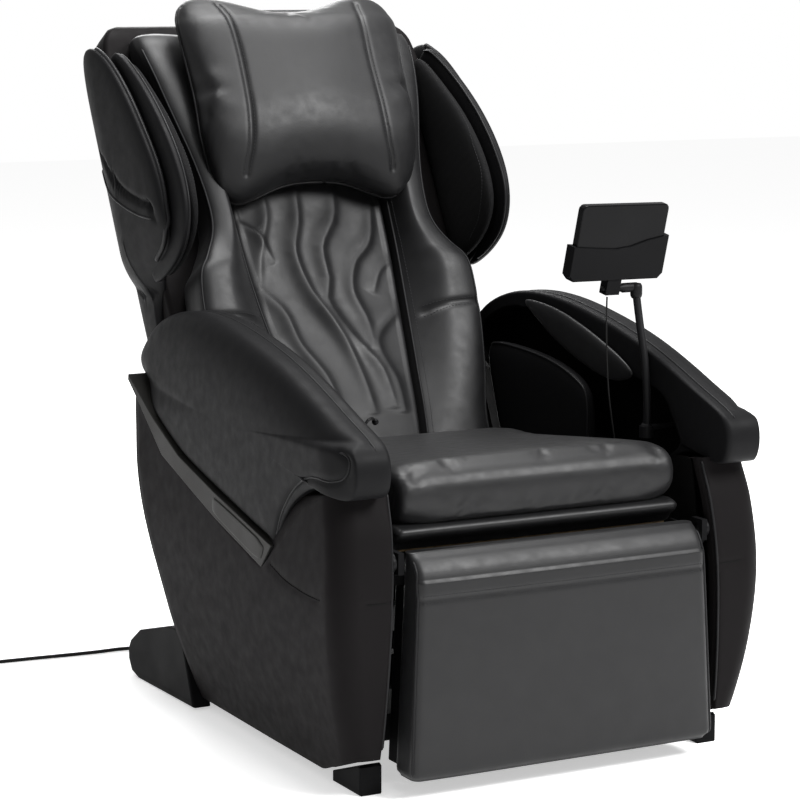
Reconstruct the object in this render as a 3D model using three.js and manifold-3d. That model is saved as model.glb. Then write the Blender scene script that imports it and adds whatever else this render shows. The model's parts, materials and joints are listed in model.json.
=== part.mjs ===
// Massage chair, standing at rest with its backrest a little reclined and its leg rest down.
// Millimetres, +Z up, the sitter faces -Y. While the pieces are laid out, Y = 0 is just behind the front
// of the side panels; the last lines centre the chair on its own footprint.
import * as THREE from 'three';
import { mergeVertices } from 'three/addons/utils/BufferGeometryUtils.js';
import Module from 'manifold-3d';

const wasm = await Module();
wasm.setup();

// ---------- driving dimensions ----------
const DEG = Math.PI / 180;
const CLEAR = 0.5;                 // air between pieces that touch on the real chair
const RECLINE = 28 * DEG;          // lean of the backrest at rest
const PIVOT_Y = 640;               // recline hinge
const PIVOT_Z = 330;
const LEG_PIVOT_Y = -5;            // leg-rest hinge
const LEG_PIVOT_Z = 378;
const PANEL_INNER_X = 340;         // inner face of a side panel
const PILLAR_WALL = 24;            // thickness of the front pillar, front to back
const ARM_IN = 312;                // inner face of an arm
const ARM_OUT = 400;               // outer face of an arm
const SKID_IN = 333;               // inner and outer face of a rear skid
const SKID_OUT = 368;
const SEAT_HALF = 266;             // half of the seat's width
const SEAT_BASE_Z = 384;           // underside of the seat cushion
const RAIL_X = 316;                // centre of a base rail
const RAIL_WIDE = 28;
const BACK_BOTTOM = 62;            // lower end of the back cushions, up the back from the hinge
const BACK_TOP = 942;              // upper end of the back cushions
const SHELL_DEPTH = 130;           // rear face of the back shell behind the hinge line
const CARRIAGE_U = 230;            // height of the roller carriage on its rails at rest
const ROLLER_RADIUS = 27;
const REMOTE_WIDE = 190;
const REMOTE_TALL = 128;
const REMOTE_THICK = 14;
const LEVER_HALF = 9;              // half thickness of the levers that the drives work
const DRIVE_OPEN = 130;              // length of rod and yoke left outside a drive's tube at rest
const DRIVE_BORE_START = 100;        // distance from a drive's back end to the closed end of its bore
const ROD_INSET = 110;               // back end of the leg rest's rod, which only comes out
const RECLINE_ROD_INSET = 175;       // back end of the reclining rod, which goes in by 63 mm
const LEG_DRIVE_X = -60;
const CORD_RADIUS = 3.5;
const COIL_RADIUS = 40;            // mid-turn radius of the coiled mains lead

// ---------- geometry tools ----------
const P = (a, b) => new THREE.Vector2(a, b);
const V = (x, y, z) => new THREE.Vector3(x, y, z);

function clean(geometry) {
  geometry.deleteAttribute('normal');
  geometry.deleteAttribute('uv');
  return mergeVertices(geometry, 1e-3);
}

function toSolid(geometry) {
  const merged = clean(geometry.clone());
  return new wasm.Manifold(new wasm.Mesh({
    numProp: 3,
    vertProperties: new Float32Array(merged.attributes.position.array),
    triVerts: new Uint32Array(merged.index.array),
  }));
}

function toGeometry(solid) {
  const mesh = solid.getMesh();
  const geometry = new THREE.BufferGeometry();
  geometry.setAttribute('position', new THREE.BufferAttribute(new Float32Array(mesh.vertProperties), 3));
  geometry.setIndex(new THREE.BufferAttribute(new Uint32Array(mesh.triVerts), 1));
  return geometry;
}

function join(...geometries) {
  return toGeometry(geometries.map(toSolid).reduce((all, next) => all.add(next)));
}

function cut(geometry, ...tools) {
  return toGeometry(tools.reduce((left, tool) => left.subtract(toSolid(tool)), toSolid(geometry)));
}

// A box from its lowest to its highest corner.
function block(x0, x1, y0, y1, z0, z1) {
  return new THREE.BoxGeometry(x1 - x0, y1 - y0, z1 - z0)
    .translate((x0 + x1) / 2, (y0 + y1) / 2, (z0 + z1) / 2);
}

// A cylinder along X, centred on a point.
function barX(radius, x0, x1, y, z, sides = 20) {
  return new THREE.CylinderGeometry(radius, radius, x1 - x0, sides)
    .rotateZ(Math.PI / 2).translate((x0 + x1) / 2, y, z);
}

// A piece on one side of the chair, made by `make` between two distances from the middle.
function acrossX(side, from, to, make) {
  return make(Math.min(side * from, side * to), Math.max(side * from, side * to));
}

// A cylinder along Z.
function barZ(radius, z0, z1, x, y, sides = 20) {
  return new THREE.CylinderGeometry(radius, radius, z1 - z0, sides)
    .rotateX(Math.PI / 2).translate(x, y, (z0 + z1) / 2);
}

// An outline carried a distance, with its rims rounded by `round` inside the outline.
function prism(shape, depth, round, steps = 2) {
  const bevel = { bevelEnabled: round > 0, bevelThickness: round, bevelSize: round,
    bevelOffset: -round, bevelSegments: steps };
  return new THREE.ExtrudeGeometry(shape, { depth: depth - 2 * round, curveSegments: 3, ...bevel })
    .translate(0, 0, round);
}

// A side view (depth, height) carried along X from x0 to x1.
function sideSlab(shape, x0, x1, round = 0) {
  const basis = new THREE.Matrix4().makeBasis(V(0, 1, 0), V(0, 0, 1), V(1, 0, 0));
  return prism(shape, x1 - x0, round).applyMatrix4(basis).translate(x0, 0, 0);
}

// A front view (width, height) carried along Y from y0 to y1.
function frontSlab(shape, y0, y1, round = 0) {
  const basis = new THREE.Matrix4().makeBasis(V(1, 0, 0), V(0, 0, 1), V(0, -1, 0));
  return prism(shape, y1 - y0, round).applyMatrix4(basis).translate(0, y1, 0);
}

function outline(points) {
  return new THREE.Shape(points.map(([a, b]) => P(a, b)));
}

// A rectangle with rounded corners, counter-clockwise.
function roundRect(x0, x1, y0, y1, radius, steps = 3) {
  const r = Math.min(radius, (x1 - x0) / 2 - 1, (y1 - y0) / 2 - 1);
  const corners = [[x1 - r, y0 + r, -90], [x1 - r, y1 - r, 0], [x0 + r, y1 - r, 90], [x0 + r, y0 + r, 180]];
  return corners.flatMap(([cx, cy, start]) => Array.from({ length: steps + 1 }, (_, k) => {
    const a = (start + 90 * k / steps) * DEG;
    return P(cx + r * Math.cos(a), cy + r * Math.sin(a));
  }));
}

// Plan sections, all with the same number of points, stacked and skinned from the bottom up.
function stack(levels) {
  const count = levels[0].plan.length;
  const position = levels.flatMap(({ z, plan }) => plan.flatMap((p) => [p.x, p.y, z]));
  const index = [];
  for (let level = 0; level + 1 < levels.length; level++) {
    for (let i = 0; i < count; i++) {
      const a = level * count + i;
      const b = level * count + (i + 1) % count;
      index.push(a, b, b + count, a, b + count, a + count);
    }
  }
  const last = (levels.length - 1) * count;
  for (const [a, b, c] of THREE.ShapeUtils.triangulateShape(levels[0].plan, [])) index.push(a, c, b);
  for (const [a, b, c] of THREE.ShapeUtils.triangulateShape(levels.at(-1).plan, [])) {
    index.push(last + a, last + b, last + c);
  }
  const geometry = new THREE.BufferGeometry();
  geometry.setAttribute('position', new THREE.Float32BufferAttribute(position, 3));
  geometry.setIndex(index);
  return geometry;
}

// A value read off a short list of [height, value] stations.
function along(stations, at) {
  let k = 1;
  while (k < stations.length - 1 && stations[k][0] < at) k++;
  const [z0, v0] = stations[k - 1];
  const [z1, v1] = stations[k];
  return v0 + (v1 - v0) * Math.min(1, Math.max(0, (at - z0) / (z1 - z0)));
}

function heights(low, high, count) {
  return Array.from({ length: count }, (_, k) => low + (high - low) * k / (count - 1));
}

function mirrorX(geometry) {
  const flipped = clean(geometry.clone());
  flipped.scale(-1, 1, 1);
  const index = flipped.index.array;
  for (let i = 0; i < index.length; i += 3) [index[i], index[i + 1]] = [index[i + 1], index[i]];
  return flipped;
}

// A round bar along a smooth path.
function tube(points, radius, steps, sides = 10) {
  const section = new THREE.Shape(Array.from({ length: sides }, (_, k) => P(
    radius * Math.cos(2 * Math.PI * k / sides), radius * Math.sin(2 * Math.PI * k / sides))));
  return new THREE.ExtrudeGeometry(section, {
    steps, bevelEnabled: false, extrudePath: new THREE.CatmullRomCurve3(points, false, 'centripetal') });
}

// ---------- finishes ----------
function finish(color, roughness, metalness = 0) {
  return new THREE.MeshStandardMaterial({ color, roughness, metalness });
}
const LEATHER = () => finish(0x2b2b2d, 0.45);
const VINYL = () => finish(0x221f20, 0.6);
const MESH_CLOTH = () => finish(0x101011, 0.95);
const PLASTIC = () => finish(0x1a1a1b, 0.5);
const TRIM_PLASTIC = () => finish(0x3a3835, 0.4);
const STEEL = () => finish(0x303234, 0.5, 0.7);
const GLOSS = () => finish(0x151516, 0.15);
const ROLLER = () => finish(0xc9c4b6, 0.5);
const RUBBER = () => finish(0x141414, 0.8);

const chair = new THREE.Group();
const backrest = new THREE.Group();
backrest.position.set(0, PIVOT_Y, PIVOT_Z);
backrest.rotation.x = -RECLINE;
chair.add(backrest);

function add(parent, name, geometry, material) {
  const mesh = new THREE.Mesh(clean(geometry), material);
  mesh.name = name;
  parent.add(mesh);
  return mesh;
}

// A right-hand piece made on +X, and its mirror image on -X. The sitter's left is +X.
function addPair(parent, name, geometry, material) {
  add(parent, `${name}_left`, geometry.clone(), material());
  add(parent, `${name}_right`, mirrorX(geometry), material());
}

// ---------- base ----------
function baseFrame() {
  const railLow = 66;
  const railHigh = 106;
  const railRear = 800;
  const parts = [];
  for (const side of [-1, 1]) {
    const near = side * RAIL_X - RAIL_WIDE / 2;
    const far = side * RAIL_X + RAIL_WIDE / 2;
    parts.push(block(near, far, 80, railRear, railLow, railHigh));
    parts.push(block(near, far, 80, 116, railHigh - 1, 372));
    parts.push(block(near, far, 625, 655, railHigh - 1, 350));
    parts.push(block(near, far, 80, 655, 350, 376));
    parts.push(barX(26, near, far, PIVOT_Y, PIVOT_Z, 24));
    parts.push(acrossX(side, 238, RAIL_X, (x0, x1) => barX(9, x0, x1, PIVOT_Y, PIVOT_Z)));
    parts.push(acrossX(side, 292, RAIL_X, (x0, x1) => block(x0, x1, 84, 108, 352, 376)));
    parts.push(acrossX(side, 291.5, 296.5, (x0, x1) => block(x0, x1, LEG_PIVOT_Y, 108, 352, 376)));
    parts.push(acrossX(side, 291.5, 296.5, (x0, x1) => barX(15, x0, x1, LEG_PIVOT_Y, LEG_PIVOT_Z)));
    parts.push(acrossX(side, 281, 294, (x0, x1) => barX(7, x0, x1, LEG_PIVOT_Y, LEG_PIVOT_Z, 16)));
  }
  const inner = RAIL_X - RAIL_WIDE / 2 + 1;
  parts.push(block(-inner, inner, 90, railRear - 4, railLow - 5, railLow + 1));
  for (const y of [88, 430, railRear - 36]) parts.push(block(-inner, inner, y, y + 34, railLow, railHigh));
  for (const y of [110, 330, 560]) parts.push(block(-inner, inner, y, y + 30, 352, 376));
  return join(...parts);
}

// Outer face of a side panel, its front edge and its rear edge, up its height.
const PANEL_OUT = [[22, 356], [60, 368], [150, 389], [240, 401], [320, 404], [410, 399], [490, 391],
  [560, 386]];
const PANEL_FRONT = [[22, 2], [72, -16], [200, -30], [321, -33], [420, -20], [493, 8], [560, 8]];
const PANEL_REAR = [[22, 612], [150, 662], [240, 700], [384, 790], [490, 832], [560, 846]];
const PANEL_EDGE = [[22, 314], [72, 312], [321, 302], [493, 292], [560, 292]];

function sidePanel() {
  const levels = heights(22, 556, 13).map((z) => {
    const out = along(PANEL_OUT, z);
    const front = along(PANEL_FRONT, z);
    const rear = along(PANEL_REAR, z);
    const edge = along(PANEL_EDGE, z);
    const corner = Math.min(42, out - edge - 14);
    const bend = [0, 22, 45, 68, 90].map((a) => P(
      out - corner + corner * Math.sin(a * DEG), front + corner - corner * Math.cos(a * DEG)));
    const plan = [P(edge, front + 10), P(edge + 8, front), ...bend, P(out - 2, (front + rear) / 2),
      P(out - 6, rear - 8), P(out - 14, rear), P(PANEL_INNER_X, rear), P(PANEL_INNER_X, front + PILLAR_WALL),
      P(edge, front + PILLAR_WALL)];
    return { z, plan };
  });
  const underArm = outline([[-90, 494], [20, 494], [95, 458], [150, 408], [243, 329], [424, 378], [515, 407],
    [652, 452], [757, 534], [800, 566], [900, 600], [900, 700], [-90, 700]]);
  const toeCut = outline([[-60, 10], [110, 10], [110, 21], [0, 62], [-60, 74]]);
  return cut(stack(levels), sideSlab(underArm, 280, 420), sideSlab(toeCut, 280, 420));
}

function frontFoot() {
  const side = outline([[14, 0], [112, 0], [112, 18], [60, 36], [20, 50], [14, 46]]);
  return sideSlab(side, 300, 340, 3);
}

function rearSkid() {
  const side = new THREE.Shape([P(606, 4), P(860, 0), P(893, 8)]);
  side.quadraticCurveTo(922, 40, 895, 66);
  side.lineTo(852, 94);
  side.lineTo(716, 130);
  side.lineTo(660, 136);
  return cut(sideSlab(side, SKID_IN, SKID_OUT, 4), block(SKID_IN + 6, SKID_OUT - 6, 800, 862, -5, 62));
}

function transportWheel() {
  return barX(24, SKID_IN + 8, SKID_OUT - 8, 831, 27.5, 24);
}

// ---------- seat ----------
function seatCushion() {
  const side = new THREE.Shape([P(74, SEAT_BASE_Z), P(592, SEAT_BASE_Z), P(588, 440)]);
  side.quadraticCurveTo(586, 462, 560, 464);
  side.splineThru([P(420, 472), P(250, 494), P(110, 512)]);
  side.quadraticCurveTo(40, 520, 28, 478);
  side.quadraticCurveTo(26, 436, 48, 425);
  side.lineTo(74, 425);
  return sideSlab(side, -SEAT_HALF, SEAT_HALF, 16);
}

function seatValance() {
  const side = outline([[50, 424], [62, 424], [62, 380.5], [38, 380.5], [18, 396], [20, 414]]);
  return sideSlab(side, -SEAT_HALF, SEAT_HALF, 3);
}

function rearCover() {
  const wide = RAIL_X - RAIL_WIDE / 2 - 6;
  const plate = block(-wide, wide, 806, 812, 40, 168);
  return cut(plate, block(112, 140, 800, 820, 96, 118));
}

// ---------- arms ----------
const ARM_TOP = [P(133, 628), P(318, 684), P(430, 704), P(513, 714), P(595, 714), P(680, 703), P(760, 675),
  P(815, 632)];

function armShell() {
  const side = new THREE.Shape([P(-30, 508)]);
  side.quadraticCurveTo(-62, 540, -5, 568);
  side.splineThru(ARM_TOP);
  side.quadraticCurveTo(846, 596, 806, 584);
  side.lineTo(690, 521);
  side.lineTo(577, 470);
  side.lineTo(431, 432);
  side.lineTo(206, 381);
  side.quadraticCurveTo(110, 492, 20, 506);
  const hollow = outline([[92, 490], [112, 530], [150, 586], [300, 605], [390, 627], [490, 656], [600, 684],
    [690, 676], [760, 644], [788, 606], [760, 570], [690, 528], [577, 477], [431, 439], [220, 394]]);
  return cut(sideSlab(side, ARM_IN, ARM_OUT, 12), sideSlab(hollow, ARM_IN - 30, ARM_OUT - 26));
}

function armTrim() {
  const side = outline([[243, 334], [424, 382], [515, 411], [652, 456], [757, 538], [802, 570], [800, 580],
    [690, 517], [577, 466], [431, 428], [204, 376.5]]);
  return sideSlab(side, 344, ARM_OUT + 3, 1.5);
}

function armPad() {
  const side = new THREE.Shape([P(350, 390), P(640, 390), P(640, 600), P(610, 616)]);
  side.lineTo(420, 598);
  side.quadraticCurveTo(352, 590, 350, 520);
  return sideSlab(side, 288, ARM_IN - CLEAR, 8);
}

function armAirbag() {
  const side = outline([[236, 600], [300, 611], [390, 634], [490, 664], [596, 690], [598, 701], [495, 694],
    [410, 673], [300, 637], [238, 617]]);
  return sideSlab(side, 300, ARM_IN - CLEAR, 2);
}

// A short hook on the right arm's inner rim, with a bead on its tip.
function armHook() {
  const wire = tube([V(-307, 60, 586), V(-300, 62, 594), V(-290, 66, 596), V(-282, 72, 590)], 2.5, 6, 8);
  return join(wire, new THREE.SphereGeometry(5.5, 12, 8).translate(-281, 73, 589));
}

// ---------- backrest, in its own frame: X across, Y behind the hinge line, Z up the back ----------
const CENTRE_HALF = [[62, 100], [383, 148], [580, 160], [942, 163]];
const CENTRE_FRONT = [[62, -76], [150, -68], [260, -50], [383, -34], [580, -30], [942, -30]];
const BOLSTER_OUT = [[62, 240], [139, 248], [225, 268], [336, 281], [430, 281], [457, 258], [522, 230],
  [577, 228],
  [661, 238], [781, 265], [895, 284], [942, 284]];
const BOLSTER_FRONT = [[62, -84], [336, -86], [441, -98], [522, -82], [781, -82], [895, -66], [942, -44]];
const SHELL_HALF = [[48, 296], [414, 303], [552, 316], [658, 330], [761, 335], [965, 320]];

function backFrame() {
  const parts = [];
  for (const side of [-1, 1]) {
    const rail = side * 250;
    parts.push(block(rail - 14, rail + 14, 14, 44, -20, 925));
    const guide = side * 124;
    parts.push(block(guide - 6, guide + 6, 50, 86, 80, 915));
    parts.push(barX(24, rail - 14, rail + 14, 0, 0, 24));
    parts.push(block(rail - 14, rail + 14, -20, 30, -14, 20));
  }
  parts.push(block(-250, 250, 20, 60, 60, 84));
  parts.push(block(-250, 250, 20, 60, 900, 924));
  parts.push(block(-130, 130, 40, 86, 60, 84));
  parts.push(block(-130, 130, 40, 86, 900, 924));
  parts.push(block(-250, 250, 20, 40, -20, 0));
  const lever = outline([[22, -2], [40, -2], [76, -60], [70, -80], [56, -80], [22, -16]]);
  parts.push(sideSlab(lever, -LEVER_HALF, LEVER_HALF));
  return cut(join(...parts), barX(11, -300, -226, 0, 0), barX(11, 226, 300, 0, 0));
}

function rearShell() {
  const wall = 7;
  const levels = (inset, front, low, high) => heights(low, high, 9).map((z) => {
    const half = along(SHELL_HALF, z) - inset;
    return { z, plan: roundRect(-half, half, front, SHELL_DEPTH - inset, 60, 4) };
  });
  const crown = levels(26, 14, 970, 984).slice(-1);
  return cut(stack([...levels(0, -4, 48, 965), ...crown]), stack(levels(wall, -90, 40, 958)));
}

function centrePad() {
  return stack(heights(BACK_BOTTOM, BACK_TOP, 12).map((z) => {
    const half = along(CENTRE_HALF, z) - 1;
    return { z, plan: roundRect(-half, half, along(CENTRE_FRONT, z), -3, 12, 2) };
  }));
}

function backBolster() {
  return stack(heights(BACK_BOTTOM, BACK_TOP, 18).map((z) => {
    const inside = along(CENTRE_HALF, z) + 1;
    const outside = along(BOLSTER_OUT, z);
    const crest = along(BOLSTER_FRONT, z);
    const seam = along(CENTRE_FRONT, z) - 4;
    return { z, plan: [P(inside, -3), P(inside, seam), P(inside + 12, seam - 8), P(outside - 34, crest),
      P(outside - 10, crest + 2), P(outside, crest + 14), P(outside, -12), P(outside - 8, -3)] };
  }));
}

function wingShell() {
  const side = new THREE.Shape([P(50, 470), P(-53, 474)]);
  side.splineThru([P(-148, 500), P(-167, 582), P(-148, 678), P(-76, 855), P(-25, 912)]);
  side.quadraticCurveTo(10, 940, 50, 930);
  return sideSlab(side, 340, 360, 5);
}

function wingPad() {
  const side = new THREE.Shape([P(-8, 456), P(-36, 452)]);
  side.splineThru([P(-129, 457), P(-181, 482), P(-209, 545), P(-199, 623), P(-160, 739), P(-60, 887)]);
  side.lineTo(-8, 890);
  return sideSlab(side, 318, 336, 4);
}

function wingMesh() {
  const side = new THREE.Shape([P(-8, 468), P(-40, 464)]);
  side.splineThru([P(-122, 470), P(-168, 494), P(-192, 550), P(-184, 618), P(-146, 730), P(-56, 868)]);
  side.lineTo(-8, 872);
  return sideSlab(side, 290, 316, 8);
}

function headPillow() {
  const half = [[0, 150], [0.04, 176], [0.1, 207], [0.2, 223], [0.32, 231], [0.78, 231], [0.88, 222],
    [1, 170]];
  const front = [[0, -112], [0.06, -132], [0.3, -158], [0.7, -160], [0.94, -140], [1, -118]];
  const back = [[0, -90], [0.5, -88], [0.8, -83], [0.94, -74], [1, -86]];
  return stack(heights(0, 1, 11).map((t) => {
    const wide = along(half, t);
    return { z: 572 + 420 * t, plan: roundRect(-wide, wide, along(front, t), along(back, t), 13, 2) };
  }));
}

function pillowFlap() {
  const side = outline([[-116, 1000], [-116, 996], [-18, 989.5], [-18, 993.5]]);
  return sideSlab(side, -120, 120);
}

// ---------- roller carriage ----------
function carriage() {
  const body = block(-106, 106, 84, 112, CARRIAGE_U - 70, CARRIAGE_U + 70);
  const parts = [body, barX(9, -98, 98, 70, CARRIAGE_U, 16)];
  for (const side of [-1, 1]) {
    parts.push(block(side * 20 - 8, side * 20 + 8, 62, 90, CARRIAGE_U - 14, CARRIAGE_U + 14));
    parts.push(block(side * 111 - 6.4, side * 111 + 6.4, 60, 100, CARRIAGE_U - 60, CARRIAGE_U + 60));
  }
  return join(...parts);
}

function kneadingArm() {
  const side = outline([[84, CARRIAGE_U], [76, CARRIAGE_U + 18], [50, CARRIAGE_U + 86], [36, CARRIAGE_U + 82],
    [50, CARRIAGE_U], [36, CARRIAGE_U - 82], [50, CARRIAGE_U - 86], [76, CARRIAGE_U - 18]]);
  const plate = sideSlab(side, 46, 56);
  const axles = [-74, 74].map((du) => barX(5, 55, 86, 42, CARRIAGE_U + du, 12));
  return cut(join(plate, ...axles), barX(10, 40, 60, 70, CARRIAGE_U, 16));
}

function roller(du) {
  const tyre = barX(ROLLER_RADIUS, 59, 83, 42, CARRIAGE_U + du, 24);
  return cut(tyre, barX(6, 50, 90, 42, CARRIAGE_U + du, 12));
}

// ---------- leg rest ----------
const LEG_HALF = [[30, 285], [323, 271], [396, 268]];

function legPad() {
  return stack(heights(31, 392, 9).map((z) => {
    const half = along(LEG_HALF, z);
    const front = along([[31, -52], [44, -57], [323, -49], [364, -42], [392, -20]], z);
    return { z, plan: roundRect(-half, half, front, 8, 14, 2) };
  }));
}

function legFrame() {
  const tray = stack(heights(44, 356, 5).map((z) => {
    const half = along(LEG_HALF, z) - 12;
    return { z, plan: roundRect(-half, half, 8.5, 52, 8, 2) };
  }));
  const ears = [-1, 1].map((side) => sideSlab(outline([[9, 340], [51, 340], [51, 356], [10, 395], [-22, 395],
    [-22, 360], [8.5, 360]]), side < 0 ? -290 : 280, side < 0 ? -280 : 290));
  const bridges = [-1, 1].map((side) => acrossX(side, 240, 288, (x0, x1) => block(x0, x1, 12, 48, 336, 352)));
  const notch = block(LEG_DRIVE_X - 24, LEG_DRIVE_X + 24, 0, 60, 270, 400);
  const lever = sideSlab(outline([[10, 250], [40, 250], [88, 314], [88, 346], [66, 346], [10, 300]]),
    LEG_DRIVE_X - LEVER_HALF, LEG_DRIVE_X + LEVER_HALF);
  const body = join(cut(tray, notch), lever, ...ears, ...bridges);
  return cut(body, barX(8.5, -300, -270, LEG_PIVOT_Y, LEG_PIVOT_Z, 16),
    barX(8.5, 270, 300, LEG_PIVOT_Y, LEG_PIVOT_Z, 16));
}

// ---------- drives ----------
// A screw drive lies between a point on the base and the lever that it works. `from` and `to` are those two
// points of the side view. Its rod ends in two cheeks either side of the lever.
function placeDrive(geometry, from, to, x) {
  return geometry.rotateX(Math.atan2(to.y - from.y, to.x - from.x)).translate(x, from.x, from.y);
}

function driveBody(from, to, x, motorSide) {
  const length = from.distanceTo(to) - DRIVE_OPEN;
  const tubeLength = length - 80;
  const housing = join(block(-30, 30, 0, 90, -30, 30),
    new THREE.CylinderGeometry(24, 24, 80, 20).translate(0, 44, 48 * motorSide),
    new THREE.CylinderGeometry(19, 19, tubeLength, 20).translate(0, 80 + tubeLength / 2, 0));
  const bore = new THREE.CylinderGeometry(13, 13, tubeLength, 16);
  bore.translate(0, DRIVE_BORE_START + tubeLength / 2, 0);
  return placeDrive(cut(housing, bore), from, to, x);
}

function driveRod(from, to, x, inset) {
  const reach = from.distanceTo(to);
  const rodLength = reach - 26 - inset;
  const rod = new THREE.CylinderGeometry(11, 11, rodLength, 16).translate(0, inset + rodLength / 2, 0);
  const gap = LEVER_HALF + 1.5;
  const cheeks = [-1, 1].map((side) => acrossX(side, gap, gap + 6, (x0, x1) => block(x0, x1,
    reach - 34, reach + 12, -15, 15)));
  const yoke = block(-gap - 6, gap + 6, reach - 40, reach - 26, -15, 15);
  return placeDrive(join(rod, yoke, ...cheeks), from, to, x);
}

const RECLINE_DRIVE = [P(190, 176), P(665, 246)];
const LEG_DRIVE = [P(500, 322), P(76, 328)];

// ---------- remote control on its stand, at the sitter's left arm ----------
const STAND_X = 303;
const STAND_Y = 185;
const STAND_Z = 517;
const STAND_PATH = [V(0, 0, 0), V(0, -3, 48), V(0, 10, 120), V(0, 26, 178), V(0, 40, 236)];

function standBracket() {
  const arm = barX(6, STAND_X + 11, ARM_OUT - 27, STAND_Y, STAND_Z, 16);
  const cup = cut(barZ(12, STAND_Z - 16, STAND_Z + 4, STAND_X, STAND_Y, 20),
    barZ(8.5, STAND_Z - 10, STAND_Z + 10, STAND_X, STAND_Y, 20));
  return join(arm, cup);
}

function standTube() {
  const pin = barZ(7.5, STAND_Z - 9, STAND_Z + 8, STAND_X, STAND_Y, 16);
  const stem = tube(STAND_PATH.map((p) => p.clone().add(V(STAND_X, STAND_Y, STAND_Z + 6))), 7, 14, 10);
  const top = STAND_PATH.at(-1).clone().add(V(STAND_X, STAND_Y, STAND_Z));
  const head = block(top.x - 34, top.x + 9, top.y - 9, top.y + 9, top.z - 4, top.z + 12);
  const tiltPin = barX(3.5, top.x - 70, top.x - 30, top.y, top.z + 4, 12);
  return join(pin, stem, head, tiltPin);
}

const remoteStand = new THREE.Group();
remoteStand.position.set(STAND_X - 52, STAND_Y + 40, STAND_Z + 240);
remoteStand.rotation.set(12.6 * DEG, 1.5 * DEG, 7.5 * DEG, 'ZYX');
chair.add(remoteStand);

// The holder's own frame: X across the remote, Y towards the sitter, Z up the remote.
const POCKET_LOW = 18;
function remoteHolder() {
  const half = REMOTE_WIDE / 2 + 8;
  const face = new THREE.Shape([P(-half + 10, POCKET_LOW), P(half - 10, POCKET_LOW), P(half, POCKET_LOW + 10),
    P(half, POCKET_LOW + 78)]);
  face.bezierCurveTo(half / 2, POCKET_LOW + 74, half / 4, POCKET_LOW + 54, -10, POCKET_LOW + 56);
  face.quadraticCurveTo(-half / 2, POCKET_LOW + 58, -half, POCKET_LOW + 62);
  face.lineTo(-half, POCKET_LOW + 10);
  const slot = block(-REMOTE_WIDE / 2 - 1.5, REMOTE_WIDE / 2 + 1.5,
    -REMOTE_THICK / 2 - 1, REMOTE_THICK / 2 + 1, POCKET_LOW + 4, 200);
  const window = block(-REMOTE_WIDE / 2 + 10, REMOTE_WIDE / 2 - 10, 0, 20, POCKET_LOW + 14, 200);
  const neck = block(-15, 15, -9, 9, -9, POCKET_LOW + 2);
  return cut(join(frontSlab(face, -11, 11, 1.5), neck), slot, window, barX(6.2, -20, 20, 0, 0, 12));
}

function remoteControl() {
  const low = POCKET_LOW + 5;
  const face = new THREE.Shape(roundRect(-REMOTE_WIDE / 2, REMOTE_WIDE / 2, low, low + REMOTE_TALL, 9, 3));
  return frontSlab(face, -REMOTE_THICK / 2, REMOTE_THICK / 2, 2);
}

const REMOTE_LEAD = [V(246, 226, 743), V(246, 227, 700), V(249, 229, 640), V(255, 232, 580), V(264, 235, 530),
  V(273, 238, 490), V(280, 240, 450), V(281, 240, 415), V(281, 240, 384)];

// ---------- mains lead ----------
const GLAND = V(-246, 815, 62);
const LEAD_Z = CORD_RADIUS + 0.5;
const LEAD = [V(-246, 840, 62), V(-246, 862, 61), V(-246, 900, 48), V(-247, 936, 26), V(-249, 966, 9),
  V(-253, 998, LEAD_Z), V(-262, 1030, LEAD_Z), V(-284, 1056, LEAD_Z), V(-318, 1066, LEAD_Z),
  V(-364, 1066, LEAD_Z),
  V(-414, 1069, LEAD_Z), V(-466, 1074, LEAD_Z), V(-520, 1079, LEAD_Z), V(-572, 1082, LEAD_Z),
  V(-606, 1082, LEAD_Z)];
const COIL = V(-660, 1128, 0);

function coil() {
  const inner = COIL_RADIUS - 8;
  const outer = COIL_RADIUS + 8;
  const profile = [P(inner, 0.3), P(outer, 0.3), P(outer, 22), P(inner, 22), P(inner, 0.3)];
  return new THREE.LatheGeometry(profile, 32).rotateX(Math.PI / 2).translate(COIL.x, COIL.y, 0);
}

function gland() {
  return new THREE.CylinderGeometry(5, 9, 24, 16).translate(GLAND.x, GLAND.y + 12, GLAND.z);
}

function plug() {
  const body = block(-17, 17, -13, 13, 0.3, 22);
  const pins = [-1, 1].map((side) => barX(2, 12, 35, side * 9.5, 11, 10));
  return join(body, ...pins).translate(COIL.x + 4, COIL.y + 76, 0);
}

// ---------- assembly ----------
add(chair, 'base_frame', baseFrame(), STEEL());
addPair(chair, 'side_panel', sidePanel(), VINYL);
addPair(chair, 'front_foot', frontFoot(), PLASTIC);
addPair(chair, 'rear_skid', rearSkid(), PLASTIC);
addPair(chair, 'transport_wheel', transportWheel(), RUBBER);
const pan = block(-SEAT_HALF + 4, SEAT_HALF - 4, 66, 586, 376.5, SEAT_BASE_Z - CLEAR);
add(chair, 'seat_pan', pan, finish(0x8a6b45, 0.7));
add(chair, 'seat_cushion', seatCushion(), LEATHER());
add(chair, 'seat_valance', seatValance(), LEATHER());
add(chair, 'rear_cover', rearCover(), PLASTIC());
add(chair, 'power_switch', block(113, 139, 803, 815, 97, 117), GLOSS());
add(chair, 'control_box', block(-120, 120, 560, 740, 67.5, 112), PLASTIC());
add(chair, 'air_pump', block(60, 230, 150, 300, 67.5, 160), PLASTIC());
add(chair, 'recline_drive', driveBody(...RECLINE_DRIVE, 0, -1), STEEL());
add(chair, 'recline_rod', driveRod(...RECLINE_DRIVE, 0, RECLINE_ROD_INSET), STEEL());
add(chair, 'leg_drive', driveBody(...LEG_DRIVE, LEG_DRIVE_X, 1), STEEL());
add(chair, 'leg_rod', driveRod(...LEG_DRIVE, LEG_DRIVE_X, ROD_INSET), STEEL());

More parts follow.
